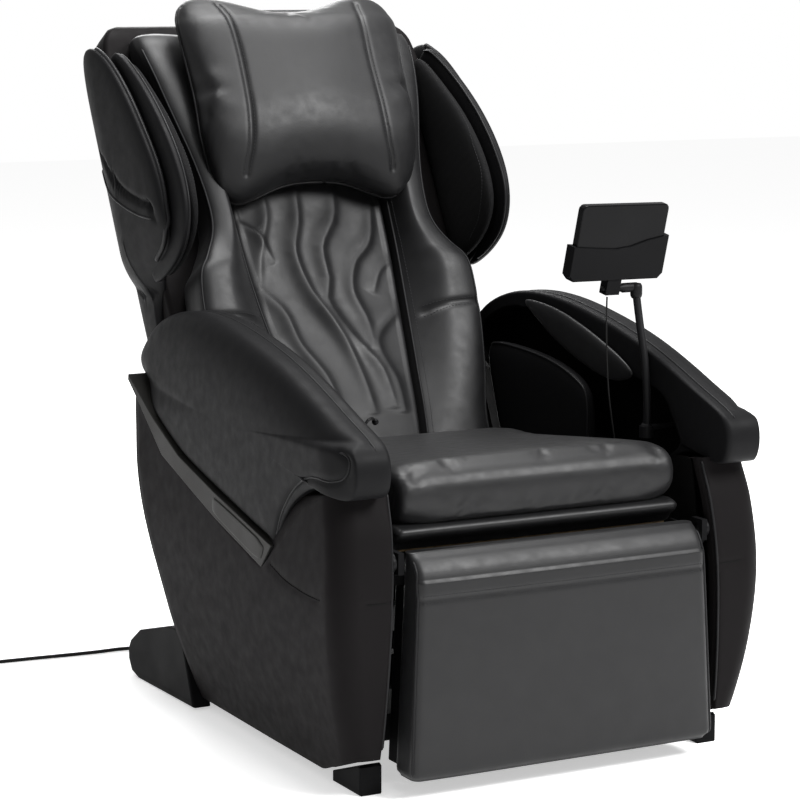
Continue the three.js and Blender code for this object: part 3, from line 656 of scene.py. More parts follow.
class CHAIR_OT_cords(bpy.types.Operator):
    """Mains lead with its strain relief, coil and plug, and the thin lead of the remote control"""
    bl_idname = "massage_chair.cords"
    bl_label = "Cords"

    def execute(self, context):
        finish = build_finishes()
        route = mains_path()
        points = at_chair(*route.T)
        mains = skin("mains_lead", rod(evenly(points, 520), CORD / 2 * MM, 10), [finish["rubber"]])
        settle(mains, "base", "rubber", "power_cord", "power_cord_coil")
        plug = skin("mains_plug", plug_grid(), [finish["rubber"]], sharp=40)
        settle(plug, "base", "rubber", "power_plug")
        pins = join_grids("mains_plug_pins", [
            rod(at_chair(np.array([-650, -640, -624, -621.5]), 1204 + side * 9.5, 11.0), 0.0021, 12,
                taper=[1, 1, 1, 0.6]) for side in (-1, 1)], [finish["nylon"]])
        settle(pins, "base", "rubber")
        relief = skin("mains_strain_relief", relief_grid(), [finish["rubber"]], sharp=50)
        settle(relief, "base", "rubber", "power_gland")
        thin = at_chair(*through(REMOTE_LEAD, 60).T)
        lead = skin("remote_lead_wire", rod(thin, 0.0015, 8), [finish["rubber"]])
        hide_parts("remote_lead")
        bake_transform(lead)
        return {"FINISHED"}


def plug_grid():
    """A moulded plug body: rounded rectangles along X, narrowing towards the cord."""
    x = np.array([-673, -671, -662, -658, -642, -639.5])
    wide = np.array([4.5, 6.0, 8.0, 12.6, 13.0, 11.5])
    tall = np.array([4.5, 5.4, 7.0, 10.3, 10.5, 9.0])
    a = np.linspace(0, math.tau, 32, endpoint=False)
    power = 2 / 3.4
    c = np.sign(np.cos(a)) * np.abs(np.cos(a)) ** power
    s = np.sign(np.sin(a)) * np.abs(np.sin(a)) ** power
    return at_chair(np.repeat(x[:, None], 32, 1), 1204 + wide[:, None] * c, 11 + tall[:, None] * s)


def relief_grid():
    """Tapered strain relief: rings along Y, with grooves moulded round it."""
    y = np.linspace(812.5, 839, 28)
    taper = np.interp(y, [812.5, 815, 839], [10.5, 9.0, 4.6])
    taper = taper - 0.8 * (np.sin((y - 815) * 2.1) > 0.2) * (y > 817) * (y < 836)
    a = np.linspace(0, math.tau, 24, endpoint=False)
    return at_chair(-246 + taper[:, None] * np.cos(a), y[:, None], 62 + taper[:, None] * np.sin(a))


# ---------- stage ----------
class CHAIR_OT_stage(bpy.types.Operator):
    """Camera, pale floor and soft studio light"""
    bl_idname = "massage_chair.stage"
    bl_label = "Stage"

    def execute(self, context):
        scene = context.scene
        lens_data = bpy.data.cameras.new("studio camera")
        lens_data.lens = 121.2
        lens_data.sensor_width = 36
        lens_data.clip_end = 100
        camera = bpy.data.objects.new("studio camera", lens_data)
        camera.location = (-2.2185, -4.2286, 1.2785)
        camera.rotation_euler = (math.radians(90 - 8.86), 0, math.radians(-28.01))
        scene.collection.objects.link(camera)
        scene.camera = camera
        pale = bpy.data.materials.new("pale floor")
        pale.use_nodes = True
        shader = pale.node_tree.nodes["Principled BSDF"]
        shader.inputs["Base Color"].default_value = (0.9, 0.9, 0.9, 1)
        shader.inputs["Roughness"].default_value = 0.9
        shader.inputs["Specular IOR Level"].default_value = 0.0
        shader.inputs["Emission Color"].default_value = (1, 1, 1, 1)
        shader.inputs["Emission Strength"].default_value = 0.5
        side = np.linspace(-14, 14, 2)
        corners = [(x, y, -0.0005) for x, y in ((side[0], side[0]), (side[1], side[0]),
                                                (side[1], side[1]), (side[0], side[1]))]
        floor = make_object("studio_floor", corners, [[0, 1, 2, 3]], [pale])
        world = bpy.data.worlds.new("studio")
        world.use_nodes = True
        nodes, links = world.node_tree.nodes, world.node_tree.links
        dim, pure, seen, mix = (nodes["Background"], nodes.new("ShaderNodeBackground"),
                                nodes.new("ShaderNodeLightPath"), nodes.new("ShaderNodeMixShader"))
        for backdrop, strength in ((dim, 0.5), (pure, 1.0)):
            backdrop.inputs["Color"].default_value = (1, 1, 1, 1)
            backdrop.inputs["Strength"].default_value = strength
        links.new(seen.outputs["Is Camera Ray"], mix.inputs["Fac"])
        links.new(dim.outputs[0], mix.inputs[1])
        links.new(pure.outputs[0], mix.inputs[2])
        links.new(mix.outputs[0], nodes["World Output"].inputs["Surface"])
        scene.world = world
        scene.view_settings.view_transform = "Standard"
        for name, place, size, power in (
                ("key softbox", (1.5, -2.8, 3.2), 1.7, 260),
                ("top softbox", (0.3, 0.2, 3.5), 1.8, 170),
                ("back softbox", (0.8, 3.4, 2.6), 1.6, 60)):
            light = bpy.data.lights.new(name, "AREA")
            light.shape = "SQUARE"
            light.size = size
            light.energy = power
            lamp = bpy.data.objects.new(name, light)
            lamp.location = place
            lamp.rotation_euler = (Vector((0, 0, 0.6)) - Vector(place)).to_track_quat("-Z", "Y").to_euler()
            scene.collection.objects.link(lamp)
        return {"FINISHED"}


# ---------- seat ----------
class CHAIR_OT_seat(bpy.types.Operator):
    """Seat cushion with its front roll, and the creased valance below it"""
    bl_idname = "massage_chair.seat"
    bl_label = "Seat"

    def execute(self, context):
        finish = build_finishes()
        chair = context.scene.massage_chair
        profile = rounded([(70, 386), (70, 386), (330, 386), (588, 386), (588, 386), (588, 420), (586, 452),
                           (560, 464), (500, 468), (420, 472), (330, 482), (250, 492), (170, 501), (110, 508),
                           (66, 512), (38, 506), (22, 486), (20, 462), (28, 440), (44, 427), (60, 424),
                           (70, 416)],
                          190, 2)
        x, rings = bar(profile, -264, 264, 20, 90)
        y, z = rings[..., 0], rings[..., 1]
        upper = ease((z - 440) / 40)
        span = (x / 264)[:, None]
        z = z + chair.seat_crown / MM * upper * (1 - span**4) - 2.5 * upper * bump(np.abs(span) - 0.9, 0.08)
        z = z + 1.6 * upper * waves(x[:, None] / 60, y / 90, 3)
        piece = skin("seat_upholstery", at_chair(x[:, None], y, z), [finish["leather"]])
        inflate(piece, 0.006, 0.006, 3.0)
        settle(piece, "base", "leather", "seat_cushion", fill=0.75)
        valance = rounded([(54, 425), (62, 424), (62, 386), (62, 382), (54, 382), (47, 388), (42, 396),
                           (30, 403),
                           (24, 411), (26, 419), (38, 424)], 80, 2)
        x, rings = bar(valance, -266, 266, 12, 120)
        y, z = rings[..., 0], rings[..., 1]
        ahead = ease((44 - y) / 16)
        y = y - ahead * 1.6 * waves(x[:, None] / 40, z / 90, 8)
        roll = skin("seat_valance_leather", at_chair(x[:, None], y, z), [finish["leather"]])
        settle(roll, "base", "leather", "seat_valance", fill=0.5)
        return {"FINISHED"}


# ---------- backrest ----------
CENTRE_HALF = graph([(62, 100), (220, 126), (383, 148), (580, 160), (942, 163)])
CENTRE_FRONT = graph([(62, -76), (150, -68), (260, -50), (383, -36), (580, -32), (942, -32)])
BOLSTER_OUT = graph([(62, 240), (139, 246), (225, 266), (336, 282), (430, 279), (470, 256), (522, 231),
                     (577, 227), (661, 238), (781, 265), (895, 284), (942, 284)])
BOLSTER_FRONT = graph([(62, -84), (336, -88), (441, -98), (522, -84), (781, -82), (895, -66), (942, -44)])
SHELL_HALF = graph([(48, 296), (414, 308), (552, 321), (658, 333), (761, 341), (880, 335), (965, 321)])

# Folds of the loose centre leather: points (across, up the back) from the top down, then width and height.
FOLDS = [
    ([(-96, 640), (-92, 570), (-120, 494), (-136, 420)], 20, 6),
    ([(-20, 650), (-30, 560), (-52, 491), (-40, 410), (-14, 348), (4, 298), (17, 228), (20, 150)], 20, 9),
    ([(58, 650), (46, 563), (6, 500), (2, 430), (-10, 388), (20, 316), (60, 244), (66, 160)], 21, 9),
    ([(134, 600), (110, 510), (66, 462), (48, 405), (62, 344), (54, 284)], 19, 8),
    ([(-146, 430), (-102, 374), (-87, 304), (-55, 233), (-44, 150)], 20, 8),
    ([(146, 372), (84, 322), (70, 283), (86, 222), (84, 150)], 19, 7),
    ([(-152, 560), (-118, 530), (-96, 470)], 14, 4), ([(152, 470), (118, 446), (92, 400)], 14, 4),
    ([(-150, 330), (-118, 300), (-100, 240)], 15, 4)]


def fold_height(x, up):
    """Folds of slack leather: for each line, height (1 + (s / width)^2)^-2 of the distance s to it, narrower
    on the side that faces down, fading as sqrt(4 t (1 - t)) towards its ends."""
    total = np.zeros(np.broadcast(x, up).shape)
    for points, width, height in FOLDS:
        line = through(points, 26)
        gap = np.full(total.shape, 1e9)
        place, facing = np.zeros(total.shape), np.zeros(total.shape)
        for k, (a, b) in enumerate(zip(line[:-1], line[1:])):
            d = b - a
            t = np.clip(((x - a[0]) * d[0] + (up - a[1]) * d[1]) / (d @ d), 0, 1)
            px, pu = x - a[0] - t * d[0], up - a[1] - t * d[1]
            away = np.hypot(px, pu)
            closer = away < gap
            gap = np.where(closer, away, gap)
            place = np.where(closer, (k + t) / (len(line) - 1), place)
            facing = np.where(closer, np.sign(px * d[1] - pu * d[0]), facing)
        s = gap / (width * np.where(facing > 0, 1.25, 0.7))
        total += height * np.sqrt(np.clip(4 * place * (1 - place), 0, 1)) * (1 + s**2) ** -2.0
    return total


class CHAIR_OT_back(bpy.types.Operator):
    """Back cushions: the loose centre pad, the bolsters beside it and their piping and stitches"""
    bl_idname = "massage_chair.back"
    bl_label = "Back cushions"

    def execute(self, context):
        finish = build_finishes()
        chair = context.scene.massage_chair
        depth = chair.fold_depth / 0.009
        up = np.concatenate([[62, 63, 66, 71], np.linspace(78, 934, 300), [938, 941, 942]])
        pull = 14 * (1 - ease((up - 62) / 16)) + 10 * (1 - ease((942 - up) / 12))
        x, behind = rounded_box(CENTRE_HALF(up) - pull - 2, CENTRE_FRONT(up) + pull, np.full(len(up), -4.0),
                                15, across=150, deep=5, corner=6)
        rows = up[:, None]
        inner = 1 - np.abs(x / CENTRE_HALF(up)[:, None])
        face = ease((behind.max(1, keepdims=True) - behind) / 30) * ease(inner / 0.14)
        crown = 9 * (1 - (x / CENTRE_HALF(up)[:, None]) ** 2)
        behind = behind - face * (
            crown - 4 + depth * (fold_height(x, rows) - 4 + 2.2 * waves(x / 34, rows / 80, 5)))
        centre = skin("centre_pad_leather", at_back(x, behind, rows), [finish["leather"]])
        settle(centre, "backrest", "leather", "centre_pad", fill=0.45)
        for side, sign in SIDES:
            self.bolster(side, sign, finish, chair)
        return {"FINISHED"}

    def bolster(self, side, sign, finish, chair):
        """Rings up the back through a softened eight-cornered section, sunk at the cross seam."""
        up = np.concatenate([[62, 63.5, 67, 72], np.linspace(78, 934, 200), [938, 941, 942]])
        pull = 12 * (1 - ease((up - 62) / 16)) + 10 * (1 - ease((942 - up) / 12))
        inside, outside = CENTRE_HALF(up) + 1 + pull, BOLSTER_OUT(up) - pull
        crest, seam = BOLSTER_FRONT(up) + pull, CENTRE_FRONT(up) - 6 + pull
        section = np.stack([
            np.stack([inside, np.full_like(up, -3)], -1), np.stack([inside, seam + 6], -1),
            np.stack([inside + 3, seam - 3], -1), np.stack([(inside + outside) / 2 - 12, crest - 3], -1),
            np.stack([outside - 32, crest - 5], -1), np.stack([outside - 8, crest], -1),
            np.stack([outside, crest + 12], -1), np.stack([outside, crest / 2], -1),
            np.stack([outside, np.full_like(up, -12)], -1),
            np.stack([outside - 8, np.full_like(up, -3)], -1)], 1)
        rings = soften(section, 3)
        x, behind = rings[..., 0], rings[..., 1]
        rows = up[:, None]
        behind = behind + 1.5 * waves(x / 40, rows / 70, 11 + sign) * ease((-behind - 20) / 30)
        piece = skin(f"back_bolster_leather_{side}", at_back(sign * x, behind, rows), [finish["leather"]])
        across = np.linspace(0, 1, 40)
        level = 348 + 6 * across
        ix, ox = CENTRE_HALF(level) + 4, BOLSTER_OUT(level) - 6
        cross = at_back(sign * (ix + (ox - ix) * across), BOLSTER_FRONT(level) - 4, level)
        press(piece, [face_down(piece, cross)[0]], 0.007, 0.0045)
        settle(piece, "backrest", "leather", f"back_bolster_{side}", fill=0.8)
        run = np.linspace(84, 770, 140)
        inner = at_back(sign * (CENTRE_HALF(run) + 3), CENTRE_FRONT(run) - 8, run)
        outer = at_back(sign * (BOLSTER_OUT(np.linspace(70, 900, 160)) - 3),
                        BOLSTER_FRONT(np.linspace(70, 900, 160)) + 4,
                        np.linspace(70, 900, 160))
        stitch = at_back(sign * (CENTRE_HALF(run) + 13), CENTRE_FRONT(run) - 16, run)
        pipe(f"bolster_piping_{side}", piece, [inner, outer], "backrest", finish["piping"], chair.piping)
        sew(f"bolster_stitching_{side}", piece, [stitch, cross + at_back(0, 0, 5) - at_back(0, 0, 0),
            cross - at_back(0, 0, 5) + at_back(0, 0, 0)], "backrest", finish["thread"])


class CHAIR_OT_shell(bpy.types.Operator):
    """Upholstered shell behind the back"""
    bl_idname = "massage_chair.shell"
    bl_label = "Back shell"

    def execute(self, context):
        finish = build_finishes()
        t = np.linspace(0, 1, 120)
        up = 48 + 936 * t
        pull = 18 * (1 - np.sqrt(1 - (1 - np.clip((up - 48) / 18, 0, 1)) ** 2))
        crown = 46 * (1 - np.sqrt(1 - np.clip((up - 938) / 46.5, 0, 1) ** 2))
        half = SHELL_HALF(up) - pull - crown * 0.7
        x, behind = rounded_box(half, -2 + crown * 0.45, 130 - pull - crown, 48, across=60, deep=14,
                                corner=16,
                                near_radius=10)
        belly = 1 - (x / half[:, None]) ** 2
        behind = behind + 4 * belly * ease((behind - 60) / 40) * (1 - ease((up - 880) / 90))[:, None] - 4 * (
            behind > 60)
        shell = skin("back_shell_vinyl", at_back(x, behind, up[:, None]), [finish["vinyl"]])
        settle(shell, "backrest", "vinyl", "rear_shell")
        run = np.linspace(70, 930, 160)
        seams = [at_back(sign * (SHELL_HALF(run) - 6), 112 + 0 * run, run) for sign in (1, -1)]
        seams = [face_down(shell, s)[0] for s in seams]
        press(shell, seams, 0.005, 0.002)
        pipe("back_shell_piping", shell, seams, "backrest", finish["piping"], 0.0022)
        return {"FINISHED"}


class CHAIR_OT_wings(bpy.types.Operator):
    """Shoulder wings: outer shell, edged middle pad and knitted inner pad on each side"""
    bl_idname = "massage_chair.wings"
    bl_label = "Shoulder wings"

    def execute(self, context):
        finish = build_finishes()
        chair = context.scene.massage_chair
        outer = rounded([(70, 300), (58, 330), (40, 390), (16, 436), (-14, 452), (-60, 464), (-120, 482),
                         (-158, 512), (-172, 570), (-166, 630),
                         (-140, 710), (-105, 795), (-62, 872), (-18, 922), (20, 942), (70, 944), (108, 915),
                         (118, 800), (118, 620), (118, 440), (112, 310)], 280)
        middle = rounded([(-4, 456), (-36, 448), (-100, 448), (-158, 462), (-198, 496), (-216, 548),
                          (-209, 622),
                          (-178, 712), (-128, 806), (-64, 894), (-30, 902), (-2, 880), (-2, 660)], 220)
        inner = rounded([(-4, 468), (-40, 460), (-96, 462), (-150, 478), (-184, 508), (-196, 552),
                         (-189, 620),
                         (-158, 708), (-112, 790), (-58, 874), (-30, 882), (-4, 860), (-4, 660)], 200)
        for side, sign in SIDES:
            self.pad(f"wing_shell_leather_{side}", outer, (-20, 700), 338, 366, 3.0, sign, finish["shell"],
                     (f"wing_shell_{side}",), 0.5, 0.030)
            self.pad(f"wing_pad_leather_{side}", middle, (-100, 660), 317, 338, 4.0, sign, finish["shell"],
                     (f"wing_pad_{side}",), 0.6, 0.0)
            self.pad(f"wing_mesh_cloth_{side}", inner, (-96, 660), 288, 317, 3.0, sign, finish["mesh"],
                     (f"wing_mesh_{side}",), 0.6, 0.0)
            pads = [bpy.data.objects[n] for n in (f"wing_shell_leather_{side}", f"wing_pad_leather_{side}",
                                                  f"wing_mesh_cloth_{side}")]
            lip = through([(-8, 930), (-44, 892), (-90, 818), (-128, 730), (-157, 640), (-167, 575),
                           (-152, 520),
                           (-118, 488), (-58, 474)], 130)
            edge = at_back(sign * 345, lip[:, 0] - 1, lip[:, 1])
            mid = through([(-40, 898), (-70, 880), (-128, 800), (-178, 705), (-206, 620), (-213, 548),
                           (-196, 500),
                           (-156, 466), (-100, 452), (-50, 451)], 140)
            rim = at_back(sign * 319, mid[:, 0], mid[:, 1])
            pipe(f"wing_piping_{side}", pads[1], [rim], "backrest", finish["piping"], chair.piping)
            pipe(f"wing_lip_{side}", pads[0], [edge], "backrest", finish["piping"], 0.0045, lift=0.001)
            seam = through([(-96, 858), (-143, 752), (-176, 632), (-181, 558), (-140, 502), (-84, 478)], 110)
            sew(f"wing_stitching_{side}", pads[2], [at_back(sign * 300, seam[:, 0], seam[:, 1])], "backrest",
                finish["thread"])
            slot = through([(70, 760), (48, 735), (27, 715), (8, 682), (-38, 627), (-90, 585), (-128, 560)],
                           90)
            end = through([(-128, 560), (-133, 548), (-128, 532)], 20)
            hem = through([(74, 716), (46, 668), (-7, 616), (-70, 566), (-124, 532)], 90)
            lines = [face_down(pads[0], at_back(sign * 366, line[:, 0], line[:, 1]))[0]
                     for line in (slot, end, hem)]
            press(pads[0], lines[:2], 0.0045, 0.0075)
            pipe(f"wing_slot_hem_{side}", pads[0], lines[2:], "backrest", finish["piping"], 0.0022, lift=0.0)
        return {"FINISHED"}

    def pad(self, name, outline, centre, low, high, fullness, sign, finish, nodes, fill, lean):
        """A lens over the outline; with `lean`, x falls by 0.0026 (d + 4)^2 + 0.0042 (548 - u)^2, by 44 at
        most, towards the back and the foot, so that the outer shell runs into the shell behind it."""
        flat, across, _ = lens(outline, np.array(centre, float), low, high, fullness)
        behind, up = flat[..., 0], flat[..., 1]
        x = np.repeat(across, flat.shape[1], 1)
        sink = 0.0026 * np.clip(behind + 4, 0, None) ** 2 + 0.0042 * np.clip(548 - up, 0, None) ** 2
        x = x - np.minimum(sink, 44) * (lean > 0) + 1.2 * waves(behind / 50, up / 60, 21)
        piece = skin(name, at_back(sign * x, behind, up), [finish])
        slot = "mesh_fabric" if "cloth" in name else "leather"
        settle(piece, "backrest", slot, *nodes, fill=fill)


PILLOW_LIE = graph([(560, -54), (582, -60), (612, -72), (652, -88), (705, -103), (770, -110), (903, -107),
                    (935, -100), (979, -90), (1000, -84)])


class CHAIR_OT_pillow(bpy.types.Operator):
    """Head pillow in three sewn panels, with its flap over the top of the back"""
    bl_idname = "massage_chair.pillow"
    bl_label = "Head pillow"

    def execute(self, context):
        finish = build_finishes()
        chair = context.scene.massage_chair
        half = [(0, 606), (60, 602), (108, 588), (150, 577), (182, 581), (208, 606), (224, 648), (233, 705),
                (230, 770), (232, 840), (234, 903), (229, 942), (210, 972), (178, 986), (132, 982), (84, 968),
                (40, 958)]
        outline = rounded(half + [(0, 955)] + [(-a, b) for a, b in half[:0:-1]], 260, 2)
        flat, thick, _ = lens(outline, np.array([0.0, 780.0]), -1, 1, 2.5, rows=90)
        x, up = flat[..., 0], flat[..., 1]
        puff = 44 + 6 * bump(x, 90) + 5 * bump(up - 660, 90) + 5 * bump(up - 900, 70)
        behind = PILLOW_LIE(up) + thick * puff * np.where(thick < 0, 1, 0.45)
        edge = ease((np.abs(x) - 150) / 50)
        pucker = 2.2 * edge * np.sin(up / 10.5 + 1.3 * np.sin(up / 31)) * bump(up - 765, 62)
        behind = behind - pucker * (thick < 0) - 1.6 * waves(x / 46, up / 60, 17) * (thick < 0)
        pillow = skin("head_pillow_leather", at_back(x, behind, up), [finish["leather"]])
        inflate(pillow, 0.006, 0.009, 3.0)
        seams = []
        for sign in (1, -1):
            line = through([(160, 578), (156, 610), (145, 660), (137, 735), (134, 835), (138, 920),
                            (144, 978)], 120)
            seams.append(face_down(pillow, at_back(sign * line[:, 0], -170, line[:, 1]))[0])
        press(pillow, seams, 0.006, 0.0042)
        settle(pillow, "headrest", "leather", "head_pillow", fill=0.85)
        rows = []
        for seam, sign in zip(seams, (1, -1)):
            shift = at_back(sign * 5.0, 0, 0) - at_back(0, 0, 0)
            rows += [seam + shift, seam - shift]
        sew("head_pillow_stitching", pillow, rows, "headrest", finish["thread"])
        ring = np.vstack([outline, outline[:1]])
        rim_up = ring[:, 1]
        rim = at_back(ring[:, 0], PILLOW_LIE(rim_up), rim_up)
        pipe("head_pillow_piping", pillow, [rim], "headrest", finish["piping"], chair.piping, lift=0.0016)
        straps = []
        for name, corners in (
                ("pillow_flap_leather", [(-96, 934), (-62, 956), (-34, 978), (-18, 985), (-12, 991),
                                         (-20, 997),
                                         (-36, 986), (-62, 964), (-96, 943)]),
                ("pillow_flap_root", [(-27, 984), (-4, 979), (16, 981), (52, 981), (54, 988), (20, 991),
                                      (-4, 997),
                                      (-24, 999), (-29, 992)])):
            x, rings = bar(rounded(corners, 90, 2), -118, 118, 2, 30)
            straps.append(skin(name, at_back(x[:, None], rings[..., 0], rings[..., 1]), [finish["leather"]]))
        flap, root = straps
        settle(root, "backrest", "leather")
        settle(flap, "headrest", "leather", "pillow_flap")
        return {"FINISHED"}


# ---------- arms ----------
ARM_SIDE = [(-6, 484), (-34, 488), (-47, 510), (-48, 540), (-38, 562), (-12, 577), (60, 602), (133, 630),
            (225, 661),
            (318, 684), (430, 704), (513, 713), (595, 714), (680, 703), (760, 675), (815, 632), (834, 610),
            (826, 594), (806, 584), (750, 552), (690, 521), (632, 492), (577, 470), (505, 450), (431, 432),
            (320, 406), (206, 381), (206, 381), (176, 428), (128, 468), (70, 494), (20, 494)]
ARM_HOLLOW = [(90, 500), (112, 530), (150, 584), (220, 596), (300, 607), (390, 629), (490, 657), (600, 684),
              (690, 676), (760, 644), (788, 606), (760, 570), (690, 528), (632, 500), (577, 478), (505, 458),
              (431, 440), (320, 414), (220, 394), (170, 440), (124, 480)]
ARM_CENTRE = np.array([380.0, 545.0])
# Corners (depth, height) of the trim's raised inset, of its open end (the near-black plate there is painted
# shade), and of the cloth behind the pillar.
INSET = [(238, 352), (252, 344), (340, 366), (424, 390), (436, 397), (432, 418), (420, 417), (330, 398),
         (230, 375)]
OPEN_END_SHADE = [(243, 333), (245, 338), (205, 380), (200, 376)]
LINING = [(16, 66), (300, 66), (600, 66), (600, 384), (420, 384), (240, 388), (120, 466), (96, 492),
          (16, 498)]


def arm_rings():
    """Rings about the arm's middle, from the crowned outside face over the crest to the inner rim, into the
    forearm channel and across its floor. Outside, with n = full,
    reach = sin(a)^(2/n) and x = rim + (399 - rim) cos(a)^(2/n)."""
    edge = rounded(ARM_SIDE, 300, 2)
    hollow = rounded(ARM_HOLLOW, 900, 2)
    toward = edge - ARM_CENTRE
    angle = np.arctan2(toward[:, 1], toward[:, 0])
    far = np.linalg.norm(toward, axis=1)
    inner = hollow - ARM_CENTRE
    inner_angle = np.arctan2(inner[:, 1], inner[:, 0])
    order = np.argsort(inner_angle)
    near = np.interp(angle, inner_angle[order], np.linalg.norm(inner, axis=1)[order], period=math.tau)
    y, z = edge[:, 0], edge[:, 1]
    foot = np.interp(y, [-60, 20, 70, 128, 206, 431, 577, 806], [482, 492, 492, 468, 381, 432, 470, 584])
    under = np.maximum((1 - ease((z - foot - 6) / 40)) * (1 - ease((y - 690) / 110)), 1 - ease((y + 40) / 30))
    rim = 346 * (1 - under) + 388 * under
    full = 3.0 * (1 - under) + 5.0 * under
    rows = []
    for a in np.concatenate([np.linspace(0.03, 0.8, 16), np.linspace(0.83, math.pi / 2, 26)]):
        reach = np.sin(a) ** (2 / full)
        x = rim + (399 - rim) * np.abs(np.cos(a)) ** (2 / full)
        rows.append((reach, x))
    for f in (0.3, 0.6, 0.85):
        rows.append((np.ones_like(rim), rim + (322 - rim) * f))
    for a in np.linspace(0.1, math.pi / 2, 6):
        rows.append((1 - 10 / far * (1 - np.cos(a)), 322 - 10 * np.sin(a) + 0 * rim))
    band = near / far
    for f in (0.15, 0.35, 0.6, 0.85, 0.96):
        rows.append(((1 - 10 / far) * (1 - f) + band * f, 312 + 0 * rim))
    outer_rows = len(rows)
    for x in (313.5, 318, 330, 345, 360, 372):
        rows.append((band, x + 0 * rim))
    for f in (0.97, 0.85, 0.6, 0.35, 0.12):
        rows.append((band * f, 374 + 0 * rim))
    reach = np.array([r for r, _ in rows])
    x = np.array([v for _, v in rows])
    flat = ARM_CENTRE + toward[None] * reach[..., None]
    return x, flat, outer_rows


class CHAIR_OT_arms(bpy.types.Operator):
    """Arm massagers: leather shells with the forearm channel, inner pads, air-cell panels and trim details"""
    bl_idname = "massage_chair.arms"
    bl_label = "Arms"

    def execute(self, context):
        finish = build_finishes()
        x, flat, outer = arm_rings()
        y, z = flat[..., 0], flat[..., 1]
        bands = (np.arange(len(x) - 1) >= outer - 1).astype(int)
        pad_side = rounded([(352, 392), (352, 392), (646, 392), (646, 392), (690, 500), (716, 580),
                            (704, 606),
                            (660, 612), (520, 606), (430, 590), (372, 568), (353, 530), (352, 450)], 160, 2)
        cell = rounded([(228, 602), (262, 588), (310, 584), (390, 600), (490, 632), (570, 672), (602, 690),
                        (596, 700), (495, 694), (400, 672), (300, 640), (248, 618)], 160, 2)
        for side, sign in SIDES:
            swell = 1.0 * waves(y / 90, z / 60, 31)
            narrow = 17 * (1 - ease((y + 48) / 90)) * ease((x - 330) / 60)
            shell = skin(f"arm_leather_{side}", at_chair(sign * (x - narrow + swell * (x > 330)), y, z),
                         [finish["shell"], finish["lining"]], bands)
            settle(shell, "base", "leather", f"arm_shell_{side}")
            crest = through([(-36, 562), (-12, 577), (60, 602), (133, 630), (225, 661), (318, 684),
                             (430, 704),
                             (513, 713), (595, 714), (680, 703), (760, 675), (812, 632)], 200)
            seam = at_chair(sign * 334, crest[:, 0], crest[:, 1] + 2)
            front = through([(204, 390), (180, 436), (132, 482), (72, 510), (10, 512), (-26, 524),
                             (-34, 552), (-10, 570)], 110)
            nose = at_chair(sign * 398, front[:, 0], front[:, 1])
            lines = [face_down(shell, seam)[0], face_down(shell, nose)[0]]
            press(shell, lines, 0.005, 0.003)
            pipe(f"arm_piping_{side}", shell, lines, "base", finish["piping"], 0.0018, lift=-0.0004)
            flat_pad, across, _ = lens(pad_side, np.array([500.0, 490.0]), 286, 311.5, 5)
            pad = skin(f"arm_pad_leather_{side}", at_chair(sign * np.repeat(across, 160, 1), flat_pad[..., 0],
                                                           flat_pad[..., 1]), [finish["shell"]])
            settle(pad, "base", "mesh_fabric", f"arm_pad_{side}", fill=0.6)
            edge = through([(700, 606), (660, 611), (520, 605), (430, 589), (370, 566), (354, 530),
                            (352, 470),
                            (352, 400)], 120)
            pipe(f"arm_pad_piping_{side}", pad, [at_chair(sign * 287, edge[:, 0], edge[:, 1])], "base",
                 finish["piping"], 0.0022)
            flat_cell, across, _ = lens(cell, np.array([420.0, 656.0]), 298, 313, 2.2, rows=30)
            bag = skin(f"arm_cell_{side}", at_chair(sign * np.repeat(across, 160, 1), flat_cell[..., 0],
                                                    flat_cell[..., 1]), [finish["leather"]])
            settle(bag, "base", "mesh_fabric", f"arm_airbag_{side}", fill=0.5)
            for part, corners, middle, low, high, kind in (
                    ("trim_inset", INSET, (340.0, 382.0), 401.5, 404.5, "trim"),
                    # the near-black plate in the trim's open end is painted shade, standing in for the dark
                    # inside of the opening
                    ("trim_open_end_shade", OPEN_END_SHADE, (221.0, 353.5), 346.0, 402.6, "gap"),
                    ("lining", LINING, (200.0, 250.0), 298.0, 300.6, "lining")):
                shape, across, _ = lens(rounded(corners, 120, 1), np.array(middle), low, high, 9, rows=24)
                plate = skin(f"arm_{part}_{side}", at_chair(sign * np.repeat(across, 120, 1), shape[..., 0],
                                                            shape[..., 1]), [finish[kind]], sharp=45)
                settle(plate, "base", "mesh_fabric" if kind == "lining" else "trim")
        return {"FINISHED"}


# ---------- side panels ----------
PANEL_OUT = graph([(22, 356), (60, 368), (150, 389), (240, 401), (320, 404), (410, 399), (490, 391),
                   (560, 386)])
PANEL_FRONT = graph([(22, 2), (72, -16), (200, -30), (321, -33), (420, -20), (493, 4), (560, 8)])
PANEL_REAR = graph([(22, 612), (150, 662), (240, 700), (384, 784), (490, 818), (560, 828)])
PANEL_EDGE = graph([(22, 314), (72, 312), (321, 302), (493, 292), (560, 292)])


